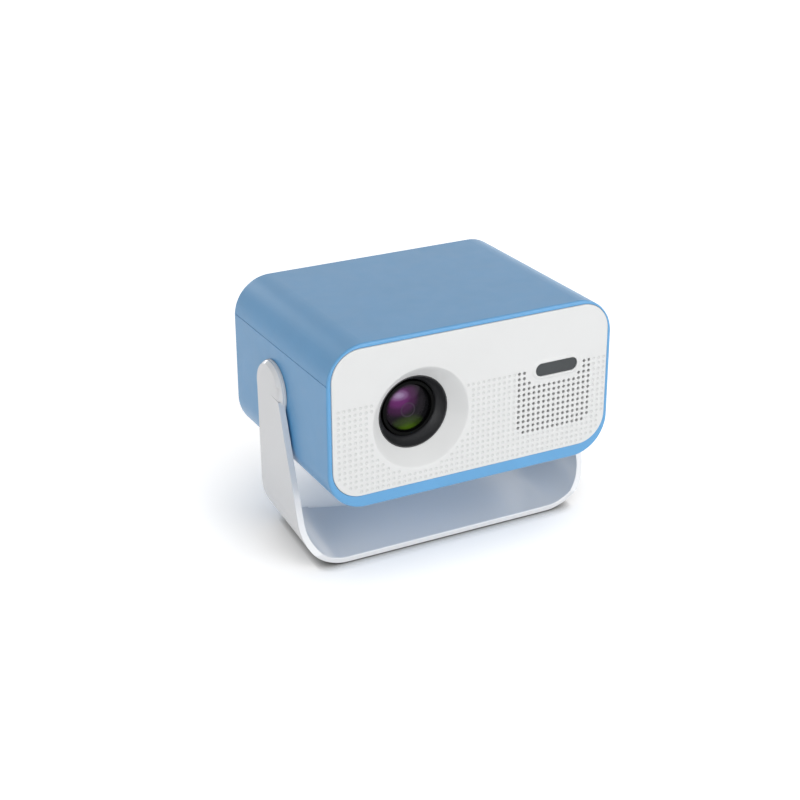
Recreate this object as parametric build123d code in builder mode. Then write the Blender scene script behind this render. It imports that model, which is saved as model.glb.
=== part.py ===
from build123d import *
import os
from math import asin, cos, radians, sin, sqrt

# Sizes in millimetres. The origin is the mouth of the tripod thread in the underside of the
# stand, x right, y back, z up. The hinge axis runs along X, behind and above it, and the head
# is drawn in its own frame on that axis, turned back by the tilt.

# Head
head_width = 190.0
head_height = 102.0
head_depth = 134.0
hinge_from_front = 73.0  # hinge axis behind the front rim
hinge_from_top = 50.0
head_corner = 24.0  # the four long edges
rest_tilt = 7.0  # nose up, as the head stands in the photograph
shell_wall = 2.5
rim_depth = 5.0  # front band that frames the panel
rim_round = 1.4
rear_round = 2.2
seam_from_top = 22.0
seam_groove = 0.4
tongue_height = 2.0
tongue_inset = 1.3
tongue_gap = 0.15
ledge_width = 1.8  # ribs that the front and rear panels stand against
ledge_depth = 2.0

# Front panel
bottom_band = 7.8  # shell that shows under the panel
mouth_corner = 18.5
panel_gap = 0.25
panel_proud = 0.6
panel_plate = 2.6
panel_skirt = 1.6
panel_round = 0.5

# Lens opening
lens_x = -35.3
lens_drop = 2.0  # lens axis under the middle of the head's height
dish_radius = 31.4
dish_hole = 22.7
dish_depth = 10.0
dish_wall = 2.0
dish_edge = 1.6
hood_gap = 0.1
hood_lip = 0.9
hood_flange = 27.0
hood_flange_thickness = 1.5
throat_radius = 17.8
throat_depth = 17.0
throat_length = 4.0
throat_wall = 1.4
throat_flare = 2.0

# Perforated field and sensor window
hole_pitch = 3.5
hole_radius = 1.05
hole_before_window = 25.5  # first column left of the window's middle
hole_under_window = 0.1  # first row under the window's middle
hole_columns = 15
hole_rows = 12
window_from_side = 39.0
window_rise = 12.3  # above the middle of the head's height
window_length = 29.0
window_height = 8.2
window_ring = 2.6
window_ring_proud = 0.7
window_ring_slope = 50.0
window_gap = 0.1
window_lip = 0.5
window_lip_thickness = 1.0

# Ribs behind the perforations
frame_offset = 1.0  # ribs' middle left of the window's middle
frame_width = 56.6
frame_under_holes = 3.7
frame_over_window = 6.3
frame_rib = 1.5
frame_depth = 5.0
crossbar_under_window = 5.35
crossbar_rib = 1.2

# Rear panel
rear_plate = 2.4
rear_recess = 1.5
rear_gap = 0.2
rear_slot_height = 2.4
rear_slot_pitch = 4.4
rear_slots = 9
rear_slot_margin = 1.0
port_gap = 0.25

# Hinge
hinge_y = 36.0  # hinge axis behind the tripod thread
hinge_height = 96.0
shaft_radius = 4.0
shaft_flange = 9.0
shaft_flange_thickness = 2.0
running_gap = 0.05
face_gap = 0.3
bush_radius = 7.0
bush_flange = 9.5
bush_flange_thickness = 1.5
boss_radius = 11.0
boss_length = 3.5
spring_radius = 8.5
spring_thickness = 2.4
nut_across = 13.0
nut_thickness = 5.0
shaft_end = 1.2  # shaft beyond the nut

# Stand
side_gap = 1.4  # between the head and an arm
stand_thickness = 3.8
stand_bend = 30.0
stand_front = 22.0  # front edge before the thread
front_lean = 25.9
rear_lean = 8.3
arm_half = 14.7  # from the hinge axis to the edges of an arm
hub_radius = 17.4
hub_rim = 1.2
crown_radius = 15.4  # soft slope between the hub's rim and the flat of the arm
crown_back = 0.8
crown_below_face = 0.5
lobe_radius = 9.5
lobe_back = 4.6
lobe_drop = 1.0
shoulder_drop = 0.5
rear_arc = 210.0
rear_arc_middle = 23.7  # rear edge behind the thread, halfway across
spacer_radius = 17.8
pad_proud = 0.6
pad_thickness = 1.4
pad_length = 50.0
pad_width = 7.0
pad_from_bend = 5.2
pad_y = 7.0
insert_radius = 6.0
insert_flange = 9.0
insert_flange_thickness = 0.8
insert_skin = 0.5
tripod_bore = 5.1 / 2

# Shell screws
post_from_side = 10.6
post_from_front = 23.0
post_from_rear = 25.0
post_radius = 4.2
screw_head_radius = 2.9
screw_head_height = 2.2
screw_access = 3.2
screw_seat_depth = 14.0  # under the seam
screw_radius = 1.4
screw_clear = 1.6
screw_length = 22.0

# Optical engine
engine_from_front = 56.0
engine_wall = 2.0
engine_over_floor = 16.5
engine_under_top = 25.0
engine_side_gap = 6.7  # wall to the mirror's edge
engine_post = 3.4
engine_post_inset = 6.0
bay_step_gap = 2.3  # wall of the wide bay to the lens tube's flange
bay_forward = 11.0  # wide bay in front of the engine's front wall
bay_from_rear_panel = 5.1
bay_beyond_plates = 4.0
lamp_end = 44.0
lamp_step = 16.0
lamp_from_fan = 6.1
lamp_post_inset = 20.0
mirror_gap = 3.0
mirror_thickness = 3.0
groove_depth = 1.0
groove_gap = 0.1
cover_thickness = 2.2
plate_top_gap = 1.0
fresnel_from_corner = 3.4  # first plate right of the corner where the slanting wall starts
fresnel_thickness = 2.0
lcd_from_fresnel = 6.0
lcd_thickness = 2.4
polarizer_from_fresnel = 10.5
polarizer_thickness = 1.1
field_from_fresnel = 15.0
condenser_gap = 5.0
condenser_rim = 2.5
condenser_flange_thickness = 1.5
condenser_crown = 0.55  # height of the dome over its radius
lamp_hole_rim = 1.5
ribbon_thickness = 0.8
ribbon_width = 30.0
ribbon_gap = 0.6

# Lamp, heat sink and pipes
lamp_board_inset = 6.0
lamp_board_thickness = 2.0
emitter_gap = 7.0
emitter_thickness = 0.8
sink_overhang = 2.0  # beyond the lamp housing, front and rear
sink_inset = 3.0  # inside the engine's height
sink_base = 4.0
sink_shaft_gap = 0.6
fin_count = 10
fin_thickness = 1.0
pipe_radius = 1.8
pipe_pitch = 16.0
pipe_bend = 5.0
pipe_inset = 10.0  # second leg inside the ends of the fins
pipe_drop = 2.0  # straight stretch under the fins

# Lens group
tube_bore = 17.1
tube_wall = 2.4
tube_behind_barrel = 10.0  # front end of the tube behind that of the barrel
tube_flange_side = 4.5
tube_flange_end = 5.5
tube_flange_corner = 5.0
tube_flange_thickness = 2.0
tube_port_gap = 0.6
barrel_running_gap = 0.1
barrel_from_face = 15.6
barrel_before_engine = 3.0
barrel_lip = 1.8
front_lens_radius = 15.2
front_lens_depth = 4.6  # seat behind the front of the barrel
front_lens_edge = 3.0
front_lens_bulge = 3.6
middle_lens_radius = 11.0
middle_lens_depth = 20.0
middle_lens_lip = 1.0
middle_lens_thickness = 5.0
middle_lens_hollow = 2.0
rear_lens_radius = 13.0
rear_lens_depth = 7.0  # before the rear of the barrel
rear_lens_edge = 2.0
rear_lens_bulge = 3.0
focus_travel = 2.5
arm_height = 5.4
arm_side_gap = 0.3
arm_behind_tube_front = 12.0
arm_root = 0.5
arm_length = 4.0
slot_end_gap = 1.5

# Focus drive
lead_radius = 1.5
nut_block = 8.0
nut_corner = 1.0
nut_length = 6.0
bracket_thickness = 1.5
bracket_tube_gap = 1.0
bracket_height = 14.0
bracket_behind_tube_front = 1.0
motor_tube_gap = 1.2
motor_radius = 7.0
motor_round = 0.8
motor_length = 11.0
motor_bore_depth = 1.6

# Fan
fan_from_lamp_end = 9.0  # the frame's left side inside the lamp end
fan_from_wall = 7.5
fan_corner = 3.0
fan_thickness = 15.0
fan_rim = 1.5
fan_hole_inset = 4.0
fan_hole_radius = 2.0
fan_hub = 12.0
fan_base_inset = 1.0
fan_strut_overlap = 1.5
fan_strut_width = 3.0
fan_cup_wall = 1.5
fan_blades = 7
fan_tip_gap = 0.6
fan_base = 1.6
fan_front_gap = 1.9
fan_axle = 1.0
fan_bearing = 3.2
stator_radius = 9.6
blade_chord = 12.0
blade_thickness = 1.2
blade_root_inset = 0.8
blade_tip_inset = 0.9
blade_root_pitch = 42.0
blade_tip_pitch = 28.0

# Boards and ports
board_thickness = 1.6
board_over_floor = 5.5
board_left = -50.0
board_right = 18.0
board_before_engine = 3.0
board_rear_gap = 0.6
board_post = 2.8
board_post_inset = 4.0
board_port_inset = 6.0
hdmi_x = -36.0
usb_x = -12.0
jack_x = 9.0
port_depth = 14.0
port_proud = 0.3
port_floor = 4.0
hdmi_width = 15.0
hdmi_height = 5.6
hdmi_slope = 2.0
hdmi_tongue = 0.9
usb_width = 14.4
usb_height = 7.0
usb_tongue = 1.6
tongue_margin = 2.0
jack_width = 8.0
jack_radius = 3.0
jack_bore = 1.75
jack_floor = 2.0
port_wall = 0.6
chip_thickness = 1.4
processor = 18.0
processor_from_ribbon = 23.0
processor_before_mirror = 4.0
memory_length = 12.0
memory_width = 9.0
memory_gap = 2.0
capacitor_radius = 3.0
capacitor_height = 6.0
connector_length = 12.0
connector_width = 8.0
connector_height = 4.0
connector_gap = 0.5
power_post_height = 4.0
power_post = 3.0
power_post_inset = 6.0
power_inlet_gap = 1.5
power_edge = 2.0  # inside the engine's cover
transformer_length = 24.0
transformer_width = 20.0
transformer_round = 2.0
transformer_height = 12.0
filter_choke_length = 14.0
filter_choke_width = 12.0
bulk_radius = 6.0
bulk_height = 13.0
switch_sink_length = 10.0
switch_sink_width = 16.0
power_part_inset = 3.0
inlet_from_side = 49.0
inlet_from_top = 17.0
inlet_width = 21.0
inlet_height = 12.0
inlet_depth = 18.0
inlet_flange = 2.0
inlet_flange_thickness = 1.0
inlet_socket_depth = 12.0
inlet_pin_pitch = 8.6
inlet_pin_radius = 1.2
inlet_wall = 1.4

# Power button
button_from_side = 33.0
button_under_lens = 7.0
button_radius = 5.8
button_gap = 0.3
button_proud = 0.4
button_flange = 7.6
button_flange_thickness = 1.4
button_round = 0.6
button_travel = 0.8
key_board_gap = 5.5  # key board's rear face to the rear panel
key_board_width = 26.0
key_board_height = 15.0
key_switch = 6.0
key_plunger = 1.6
key_plunger_height = 1.0
key_post_x = 10.4
key_post_radius = 2.2

# Speaker and sensor board
board_gap = 0.2
speaker_plate = 1.5
speaker_corner = 3.0
speaker_length = 46.0
speaker_width = 27.0
speaker_depth = 12.0
speaker_wall = 1.2
basket_rim = 1.0
basket_flat = 4.0
cone_gap = 0.3
cone_front = 0.6
cone_depth = 6.4
cone_surround = 1.7
cone_skin = 1.0
coil_length = 20.0
coil_width = 12.0
magnet_radius = 14.0
magnet_thickness = 7.0
magnet_edge = 1.0
sensor_height = 10.4
sensor_from_middle = 8.0
receiver_width = 7.0
receiver_height = 6.0
light_sensor_radius = 3.2
sensor_gap = 0.6

# Intake in the floor of the head
intake_behind_middle = 4.0
intake_slots = 6
intake_pitch = 5.0
intake_slot_width = 2.6
intake_slot_length = 46.0
filter_thickness = 3.0
filter_margin = 1.6

# Places that follow from the sizes
front_y = -hinge_from_front
back_y = front_y + head_depth
top_z = hinge_from_top
bottom_z = top_z - head_height
mid_z = (top_z + bottom_z) / 2
inner_width = head_width - 2 * shell_wall
inner_height = head_height - 2 * shell_wall
inner_corner = head_corner - shell_wall
floor_z = bottom_z + shell_wall
seam_z = top_z - seam_from_top
mouth_width = inner_width
mouth_height = head_height - shell_wall - bottom_band
mouth_z = top_z - shell_wall - mouth_height / 2
panel_width = mouth_width - 2 * panel_gap
panel_height = mouth_height - 2 * panel_gap
panel_corner = mouth_corner - panel_gap
panel_face_y = front_y - panel_proud
panel_plate_y = panel_face_y + panel_plate
panel_seat_y = front_y + rim_depth
rear_face_y = back_y - rear_recess
rear_inner_y = rear_face_y - rear_plate
side_x = head_width / 2
arm_inner_x = side_x + side_gap
stand_half = arm_inner_x + stand_thickness
lens_z = mid_z - lens_drop
window_x = side_x - window_from_side
window_z = mid_z + window_rise
hole_left = window_x - hole_before_window
hole_top = window_z - hole_under_window
hole_bottom = hole_top - (hole_rows - 1) * hole_pitch
frame_x = window_x - frame_offset
frame_top = window_z + frame_over_window
frame_bottom = hole_bottom - frame_under_holes
frame_height = frame_top - frame_bottom
crossbar_z = window_z - crossbar_under_window
post_x = side_x - post_from_side
post_front_y = front_y + post_from_front
post_rear_y = back_y - post_from_rear
screw_seat_z = seam_z - screw_seat_depth

# Places of the engine, the fan and the boards inside the head
fan_back_y = rear_inner_y
fan_front_y = fan_back_y - fan_thickness
fan_left = lamp_end - fan_from_lamp_end
fan_size = side_x - shell_wall - fan_from_wall - fan_left
fan_bore = fan_size / 2 - fan_rim
fan_x = fan_left + fan_size / 2
fan_z = lens_z
engine_front = front_y + engine_from_front
engine_bottom = floor_z + engine_over_floor
engine_top = top_z - engine_under_top
panel_bay_front = engine_front - bay_forward
panel_bay_back = rear_inner_y - bay_from_rear_panel
bay_half = (panel_bay_back - panel_bay_front) / 2
mirror_y = panel_bay_front + bay_half  # where the lens axis meets the mirror
mirror_reach = mirror_y - engine_front - engine_wall - mirror_gap
engine_left = lens_x - mirror_reach - engine_side_gap
lamp_front = panel_bay_front + lamp_step
lamp_back = fan_front_y - lamp_from_fan
lamp_y = (lamp_front + lamp_back) / 2
lamp_half = (lamp_back - lamp_front) / 2
tube_radius = tube_bore + tube_wall
engine_step_x = lens_x + tube_radius + tube_flange_side + bay_step_gap
fold = mirror_y - lens_x + (mirror_thickness + engine_wall) * sqrt(2)
fresnel_x = panel_bay_back - fold + fresnel_from_corner
lcd_x = fresnel_x + lcd_from_fresnel
polarizer_x = fresnel_x + polarizer_from_fresnel
field_lens_x = fresnel_x + field_from_fresnel
panel_bay_right = field_lens_x + bay_beyond_plates
board_z = floor_z + board_over_floor
board_front = engine_front - board_before_engine
board_back = rear_inner_y - board_rear_gap
inlet_x = inlet_from_side - side_x
inlet_z = top_z - inlet_from_top
button_x = button_from_side - side_x
button_z = lens_z - button_under_lens
filter_width = (intake_slots - 1) * intake_pitch + intake_slot_width + 2 * filter_margin
intake_x = side_x - head_corner - filter_width / 2
intake_y = front_y + head_depth / 2 + intake_behind_middle

head = Plane(
    origin=(0, hinge_y, hinge_height),
    x_dir=(1, 0, 0),
    z_dir=(0, sin(radians(rest_tilt)), cos(radians(rest_tilt))),
)
head_y = Axis(head.origin, head.y_dir)


def across(y, x=0.0, z=0.0):
    """Plane across the head at depth y that faces the front: local x right, local y up."""
    return Plane(origin=head.from_local_coords((x, y, z)), x_dir=head.x_dir, z_dir=-head.y_dir)


def level(z, x=0.0, y=0.0):
    """Level plane of the head at height z: local x right, local y back."""
    return Plane(origin=head.from_local_coords((x, y, z)), x_dir=head.x_dir, z_dir=head.z_dir)


def beside(x):
    """Plane of the head that faces right at x: local x back, local y up."""
    return Plane(origin=head.from_local_coords((x, 0, 0)), x_dir=head.y_dir, z_dir=head.x_dir)


def outward(side, x):
    """Plane on the hinge axis that faces out of the given side, at the distance x."""
    return Plane(origin=(side * x, hinge_y, hinge_height), x_dir=(0, side, 0), z_dir=(side, 0, 0))


# Stand: one bent plate with two tapering arms
hub_x = arm_inner_x + hub_rim
front_lean_r = radians(front_lean)
rear_lean_r = radians(rear_lean)
shoulder_z = hinge_height - shoulder_drop


def arm_front(z):
    """Front edge of an arm at the height z."""
    return hinge_y - (arm_half - sin(front_lean_r) * (z - hinge_height)) / cos(front_lean_r)


def arm_rear(z):
    """Rear edge of an arm at the height z."""
    return hinge_y + (arm_half + sin(rear_lean_r) * (z - hinge_height)) / cos(rear_lean_r)


front_reach = (stand_front + hinge_y) * cos(front_lean_r)
front_corner_z = hinge_height + (arm_half - front_reach) / sin(front_lean_r)
path_half = stand_half - stand_thickness / 2
path_bottom = stand_thickness / 2
path_radius = stand_bend - stand_thickness / 2

pad_x = stand_half - stand_bend - pad_from_bend

with BuildPart() as stand_bracket:
    with BuildSketch(Plane.XZ.offset(stand_front)):
        with BuildLine():
            FilletPolyline(
                (-path_half, shoulder_z),
                (-path_half, path_bottom),
                (path_half, path_bottom),
                (path_half, shoulder_z),
                radius=path_radius,
            )
        trace(line_width=stand_thickness)
    extrude(amount=-(stand_front + hinge_y + hub_radius))
    with BuildSketch(Plane.YZ):
        with BuildLine():
            Polyline(
                (arm_front(shoulder_z), shoulder_z),
                (-stand_front, front_corner_z),
                (-stand_front, 0),
                (arm_rear(0), 0),
                (arm_rear(shoulder_z), shoulder_z),
                close=True,
            )
        make_face()
    extrude(amount=2 * stand_half, both=True, mode=Mode.INTERSECT)
    with BuildSketch(Plane.XY):
        with Locations((0, rear_arc + rear_arc_middle)):
            Circle(rear_arc)
    extrude(amount=stand_thickness, mode=Mode.SUBTRACT)
    for side in (-1, 1):
        with BuildSketch(outward(side, arm_inner_x)):
            Circle(hub_radius)
        extrude(amount=hub_rim)
        with BuildSketch(outward(side, hub_x)):
            Circle(hub_radius)
        with BuildSketch(outward(side, stand_half - crown_below_face)):
            with Locations((side * crown_back, 0)):
                Circle(crown_radius)
        with BuildSketch(outward(side, stand_half)):
            with Locations((side * lobe_back, -lobe_drop)):
                Circle(lobe_radius)
        loft(ruled=True)
    front_edges = stand_bracket.edges().filter_by(Axis.X).group_by(Axis.Y)[0]
    fillet(front_edges, 0.8)
    for side in (-1, 1):
        with BuildSketch(outward(side, arm_inner_x)):
            Circle(shaft_flange)
        extrude(amount=shaft_flange_thickness, mode=Mode.SUBTRACT)
    with BuildSketch(Plane.XY):
        with Locations((-pad_x, pad_y), (pad_x, pad_y)):
            SlotOverall(pad_length, pad_width, rotation=90)
    extrude(amount=pad_thickness - pad_proud, mode=Mode.SUBTRACT)
    with BuildSketch(Plane.XY):
        Circle(insert_flange)
    extrude(amount=insert_flange_thickness, mode=Mode.SUBTRACT)
    with BuildSketch(Plane.XY):
        Circle(insert_radius)
    extrude(amount=stand_thickness - insert_skin, mode=Mode.SUBTRACT)

with BuildPart() as base_pads:
    with BuildSketch(Plane.XY.offset(-pad_proud)):
        with Locations((-pad_x, pad_y), (pad_x, pad_y)):
            SlotOverall(pad_length, pad_width, rotation=90)
    extrude(amount=pad_thickness)

with BuildPart() as tripod_insert:
    with BuildSketch(Plane.XY):
        Circle(insert_flange)
    extrude(amount=insert_flange_thickness)
    with BuildSketch(Plane.XY):
        Circle(insert_radius)
    extrude(amount=stand_thickness - insert_skin)
    with BuildSketch(Plane.XY):
        Circle(tripod_bore)
    extrude(amount=stand_thickness - insert_skin, mode=Mode.SUBTRACT)

# Hinge: a flanged shaft in each arm, a bush in each side wall, and a spring and a nut inside
bush_end_x = side_x - shell_wall - boss_length - bush_flange_thickness
spring_x = bush_end_x - face_gap
nut_x = spring_x - spring_thickness
shaft_tip_x = nut_x - nut_thickness - shaft_end

with BuildPart() as hinge_spacers:
    for side in (-1, 1):
        with BuildSketch(outward(side, arm_inner_x)):
            Circle(spacer_radius)
            Circle(shaft_radius, mode=Mode.SUBTRACT)
        extrude(amount=-(arm_inner_x - side_x - face_gap))

with BuildPart() as hinge_shafts:
    for side in (-1, 1):
        with BuildSketch(outward(side, arm_inner_x)):
            Circle(shaft_flange)
        extrude(amount=shaft_flange_thickness)
        with BuildSketch(outward(side, arm_inner_x)):
            Circle(shaft_radius)
        extrude(amount=-(arm_inner_x - shaft_tip_x))

with BuildPart() as hinge_springs:
    for side in (-1, 1):
        with BuildSketch(outward(side, spring_x)):
            Circle(spring_radius)
        with BuildSketch(outward(side, nut_x)):
            Circle(spring_radius * 0.8)
        loft()
        with BuildSketch(outward(side, nut_x)):
            Circle(shaft_radius)
        extrude(amount=spring_thickness, mode=Mode.SUBTRACT)

with BuildPart() as hinge_nuts:
    for side in (-1, 1):
        with BuildSketch(outward(side, nut_x)):
            RegularPolygon(nut_across / 2, 6, major_radius=False)
            Circle(shaft_radius, mode=Mode.SUBTRACT)
        extrude(amount=-nut_thickness)

with BuildPart() as hinge_bushes:
    for side in (-1, 1):
        with BuildSketch(outward(side, side_x)):
            Circle(bush_radius)
            Circle(shaft_radius + running_gap, mode=Mode.SUBTRACT)
        extrude(amount=-(shell_wall + boss_length + bush_flange_thickness))
        with BuildSketch(outward(side, side_x - shell_wall - boss_length)):
            Circle(bush_flange)
            Circle(shaft_radius + running_gap, mode=Mode.SUBTRACT)
        extrude(amount=-bush_flange_thickness)

# Shells: a rounded tube that is open at both ends, in an upper and a lower half
with BuildPart() as shell_form:
    with BuildSketch(across(front_y)):
        with Locations((0, mid_z)):
            RectangleRounded(head_width, head_height, head_corner)
    extrude(amount=-head_depth)
    fillet(shell_form.edges().group_by(head_y)[0], rim_round)
    fillet(shell_form.edges().group_by(head_y)[-1], rear_round)

with BuildPart() as shell:
    add(shell_form.part)
    with BuildSketch(across(panel_seat_y)):
        with Locations((0, mid_z)):
            RectangleRounded(inner_width, inner_height, inner_corner)
    extrude(amount=-head_depth, mode=Mode.SUBTRACT)
    with BuildSketch(across(front_y)):
        with Locations((0, mouth_z)):
            RectangleRounded(mouth_width, mouth_height, mouth_corner)
    extrude(amount=-rim_depth, mode=Mode.SUBTRACT)
    with BuildSketch(across(panel_seat_y), across(rear_inner_y - ledge_depth)):
        with Locations((0, mid_z)):
            RectangleRounded(inner_width, inner_height, inner_corner)
            RectangleRounded(
                inner_width - 2 * ledge_width,
                inner_height - 2 * ledge_width,
                inner_corner - ledge_width,
                mode=Mode.SUBTRACT,
            )
    extrude(amount=-ledge_depth)

tongue_front = panel_seat_y + ledge_depth
tongue_length = rear_inner_y - ledge_depth - tongue_front
post_places = [(x, y) for x in (-post_x, post_x) for y in (post_front_y, post_rear_y)]

with BuildPart() as lower_shell:
    add(shell.part)
    split(bisect_by=level(seam_z), keep=Keep.BOTTOM)
    with BuildSketch(across(tongue_front)):
        with Locations((0, mid_z)):
            RectangleRounded(
                head_width - 2 * tongue_inset,
                head_height - 2 * tongue_inset,
                head_corner - tongue_inset,
            )
            RectangleRounded(inner_width, inner_height, inner_corner, mode=Mode.SUBTRACT)
        with Locations((0, seam_z + tongue_height / 2)):
            Rectangle(head_width, tongue_height, mode=Mode.INTERSECT)
    extrude(amount=-tongue_length)
    # groove that shows as the seam
    with BuildSketch(level(seam_z)):
        with Locations((0, front_y + head_depth / 2)):
            Rectangle(head_width, head_depth)
            Rectangle(head_width - 2 * seam_groove, head_depth, mode=Mode.SUBTRACT)
    extrude(amount=-seam_groove, mode=Mode.SUBTRACT)
    # screw posts, trimmed to the outer form
    with BuildSketch(level(bottom_z)):
        with Locations(*post_places):
            Circle(post_radius)
    extrude(amount=seam_z - bottom_z)
    # posts of the engine, the main board and the seats of the hinge bushes
    engine_posts = [
        (engine_left + engine_post_inset, engine_front + engine_post),
        (panel_bay_right - engine_post_inset, panel_bay_front + engine_post),
        (lamp_end - lamp_post_inset, lamp_front + engine_post_inset),
        (lamp_end - lamp_post_inset, lamp_back - engine_post_inset),
    ]
    with BuildSketch(level(floor_z)):
        with Locations(*engine_posts):
            Circle(engine_post)
    extrude(amount=engine_bottom - floor_z)
    board_posts = [
        (x, y)
        for x in (board_left + board_post_inset, board_right - board_post_inset)
        for y in (board_front + board_post_inset, board_back - board_port_inset)
    ]
    with BuildSketch(level(floor_z)):
        with Locations(*board_posts):
            Circle(board_post)
    extrude(amount=board_z - floor_z)
    for side in (-1, 1):
        with BuildSketch(outward(side, side_x - shell_wall / 2)):
            Circle(boss_radius)
        extrude(amount=-(boss_length + shell_wall / 2))
        with BuildSketch(outward(side, side_x)):
            Circle(bush_radius)
        extrude(amount=-(shell_wall + boss_length), mode=Mode.SUBTRACT)
    add(shell_form.part, mode=Mode.INTERSECT)
    with BuildSketch(level(bottom_z)):
        with Locations(*post_places):
            Circle(screw_access)
    extrude(amount=screw_seat_z - bottom_z, mode=Mode.SUBTRACT)
    with BuildSketch(level(screw_seat_z)):
        with Locations(*post_places):
            Circle(screw_clear)
    extrude(amount=seam_z - screw_seat_z, mode=Mode.SUBTRACT)
    # air intake
    with BuildSketch(level(bottom_z)):
        with Locations((intake_x, intake_y)):
            with GridLocations(intake_pitch, 0, intake_slots, 1):
                SlotOverall(intake_slot_length, intake_slot_width, rotation=90)
    extrude(amount=shell_wall, mode=Mode.SUBTRACT)

with BuildPart() as upper_shell:
    add(shell.part)
    split(bisect_by=level(seam_z), keep=Keep.TOP)
    with BuildSketch(across(tongue_front)):
        with Locations((0, mid_z)):
            RectangleRounded(
                head_width - 2 * (tongue_inset - tongue_gap),
                head_height - 2 * (tongue_inset - tongue_gap),
                head_corner - tongue_inset + tongue_gap,
            )
            RectangleRounded(
                inner_width - 2 * ledge_width,
                inner_height - 2 * ledge_width,
                inner_corner - ledge_width,
                mode=Mode.SUBTRACT,
            )
        with Locations((0, seam_z + (tongue_height + tongue_gap) / 2)):
            Rectangle(head_width, tongue_height + tongue_gap, mode=Mode.INTERSECT)
    extrude(amount=-tongue_length, mode=Mode.SUBTRACT)
    with BuildSketch(level(seam_z)):
        with Locations(*post_places):
            Circle(post_radius - tongue_gap)
    extrude(amount=seam_from_top)
    add(shell_form.part, mode=Mode.INTERSECT)
    with BuildSketch(level(seam_z)):
        with Locations(*post_places):
            Circle(screw_radius)
    extrude(amount=screw_length + screw_seat_z - seam_z, mode=Mode.SUBTRACT)

with BuildPart() as shell_screws:
    with BuildSketch(level(screw_seat_z - screw_head_height)):
        with Locations(*post_places):
            Circle(screw_head_radius)
    extrude(amount=screw_head_height)
    with BuildSketch(level(screw_seat_z)):
        with Locations(*post_places):
            Circle(screw_radius)
    extrude(amount=screw_length)

# Front panel: plate with a skirt, a dish for the lens, a raised ring and the speaker holes
lens_plane = level(lens_z, x=lens_x)
lens_axis = Axis(lens_plane.origin, head.y_dir)
dish_back_y = panel_face_y + dish_depth
frame_seat_y = panel_plate_y + frame_depth
hole_rows_z = [hole_top - row * hole_pitch for row in range(hole_rows)]


def dome(rim, edge_y, bulge):
    """Middle point of a spherical arc from a lens's rim to its axis, which it meets square."""
    radius = (rim**2 + bulge**2) / (2 * abs(bulge))
    half = asin(rim / radius) / 2
    rise = radius * cos(half) - radius + abs(bulge)
    return (radius * sin(half), edge_y + rise * bulge / abs(bulge))


def open_columns(row):
    """Columns that are pierced in a row: they leave the sensor window's ring free."""
    if row < 2:
        return [0, 1, hole_columns - 2, hole_columns - 1]
    if row == 2:
        return [0, 1, 2, hole_columns - 3, hole_columns - 2, hole_columns - 1]
    if row == hole_rows - 1:
        return list(range(1, hole_columns - 1))
    return list(range(hole_columns))


holes = [
    (hole_left + column * hole_pitch, hole_rows_z[row])
    for row in range(hole_rows)
    for column in open_columns(row)
]

with BuildPart() as front_panel:
    with BuildSketch(across(panel_plate_y)):
        with Locations((0, mouth_z)):
            RectangleRounded(panel_width, panel_height, panel_corner)
    extrude(amount=panel_plate)
    fillet(front_panel.edges().group_by(head_y)[0], panel_round)
    with BuildSketch(across(panel_seat_y)):
        with Locations((0, mouth_z)):
            RectangleRounded(panel_width, panel_height, panel_corner)
            RectangleRounded(
                panel_width - 2 * panel_skirt,
                panel_height - 2 * panel_skirt,
                panel_corner - panel_skirt,
                mode=Mode.SUBTRACT,
            )
    extrude(amount=panel_seat_y - panel_plate_y)
    # dish: a cone with a soft outer edge
    with BuildSketch(lens_plane):
        with BuildLine():
            Polyline(
                (dish_hole, panel_plate_y),
                (dish_radius + dish_wall, panel_plate_y),
                (dish_hole + dish_wall, dish_back_y + dish_wall),
                (dish_hole, dish_back_y + dish_wall),
                close=True,
            )
        make_face()
    revolve(axis=lens_axis)
    with BuildSketch(lens_plane):
        with BuildLine():
            Polyline(
                (0, panel_face_y),
                (dish_radius, panel_face_y),
                (dish_hole, dish_back_y),
                (dish_hole, dish_back_y + dish_wall),
                (0, dish_back_y + dish_wall),
                close=True,
            )
        make_face()
    revolve(axis=lens_axis, mode=Mode.SUBTRACT)
    dish_rim = front_panel.edges().filter_by(GeomType.CIRCLE).sort_by(SortBy.RADIUS)
    fillet([e for e in dish_rim if abs(e.radius - dish_radius) < 0.01], dish_edge)
    # ribs that carry the speaker and the sensor board
    with BuildSketch(across(frame_seat_y)):
        with Locations((frame_x, (frame_top + frame_bottom) / 2)):
            Rectangle(frame_width, frame_height)
            Rectangle(frame_width - 2 * frame_rib, frame_height - 2 * frame_rib, mode=Mode.SUBTRACT)
        with Locations((frame_x, crossbar_z)):
            Rectangle(frame_width, crossbar_rib)
    extrude(amount=frame_depth)
    # raised ring and the opening of the window
    with BuildSketch(across(panel_face_y)):
        with Locations((window_x, window_z)):
            SlotOverall(window_length + 2 * window_ring, window_height + 2 * window_ring)
    extrude(amount=window_ring_proud, taper=window_ring_slope)
    with BuildSketch(across(panel_plate_y)):
        with Locations((window_x, window_z)):
            SlotOverall(window_length + 2 * window_gap, window_height + 2 * window_gap)
    extrude(amount=panel_plate + window_ring_proud, mode=Mode.SUBTRACT)
    with BuildSketch(across(panel_plate_y)):
        with Locations(*holes):
            Circle(hole_radius)
    extrude(amount=panel_plate, mode=Mode.SUBTRACT)

with BuildPart() as sensor_window:
    with BuildSketch(across(panel_plate_y)):
        with Locations((window_x, window_z)):
            SlotOverall(window_length, window_height)
    extrude(amount=panel_plate)
    with BuildSketch(across(panel_plate_y + window_lip_thickness)):
        with Locations((window_x, window_z)):
            SlotOverall(window_length + 2 * window_lip, window_height + 2 * window_lip)
    extrude(amount=window_lip_thickness)

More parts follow.
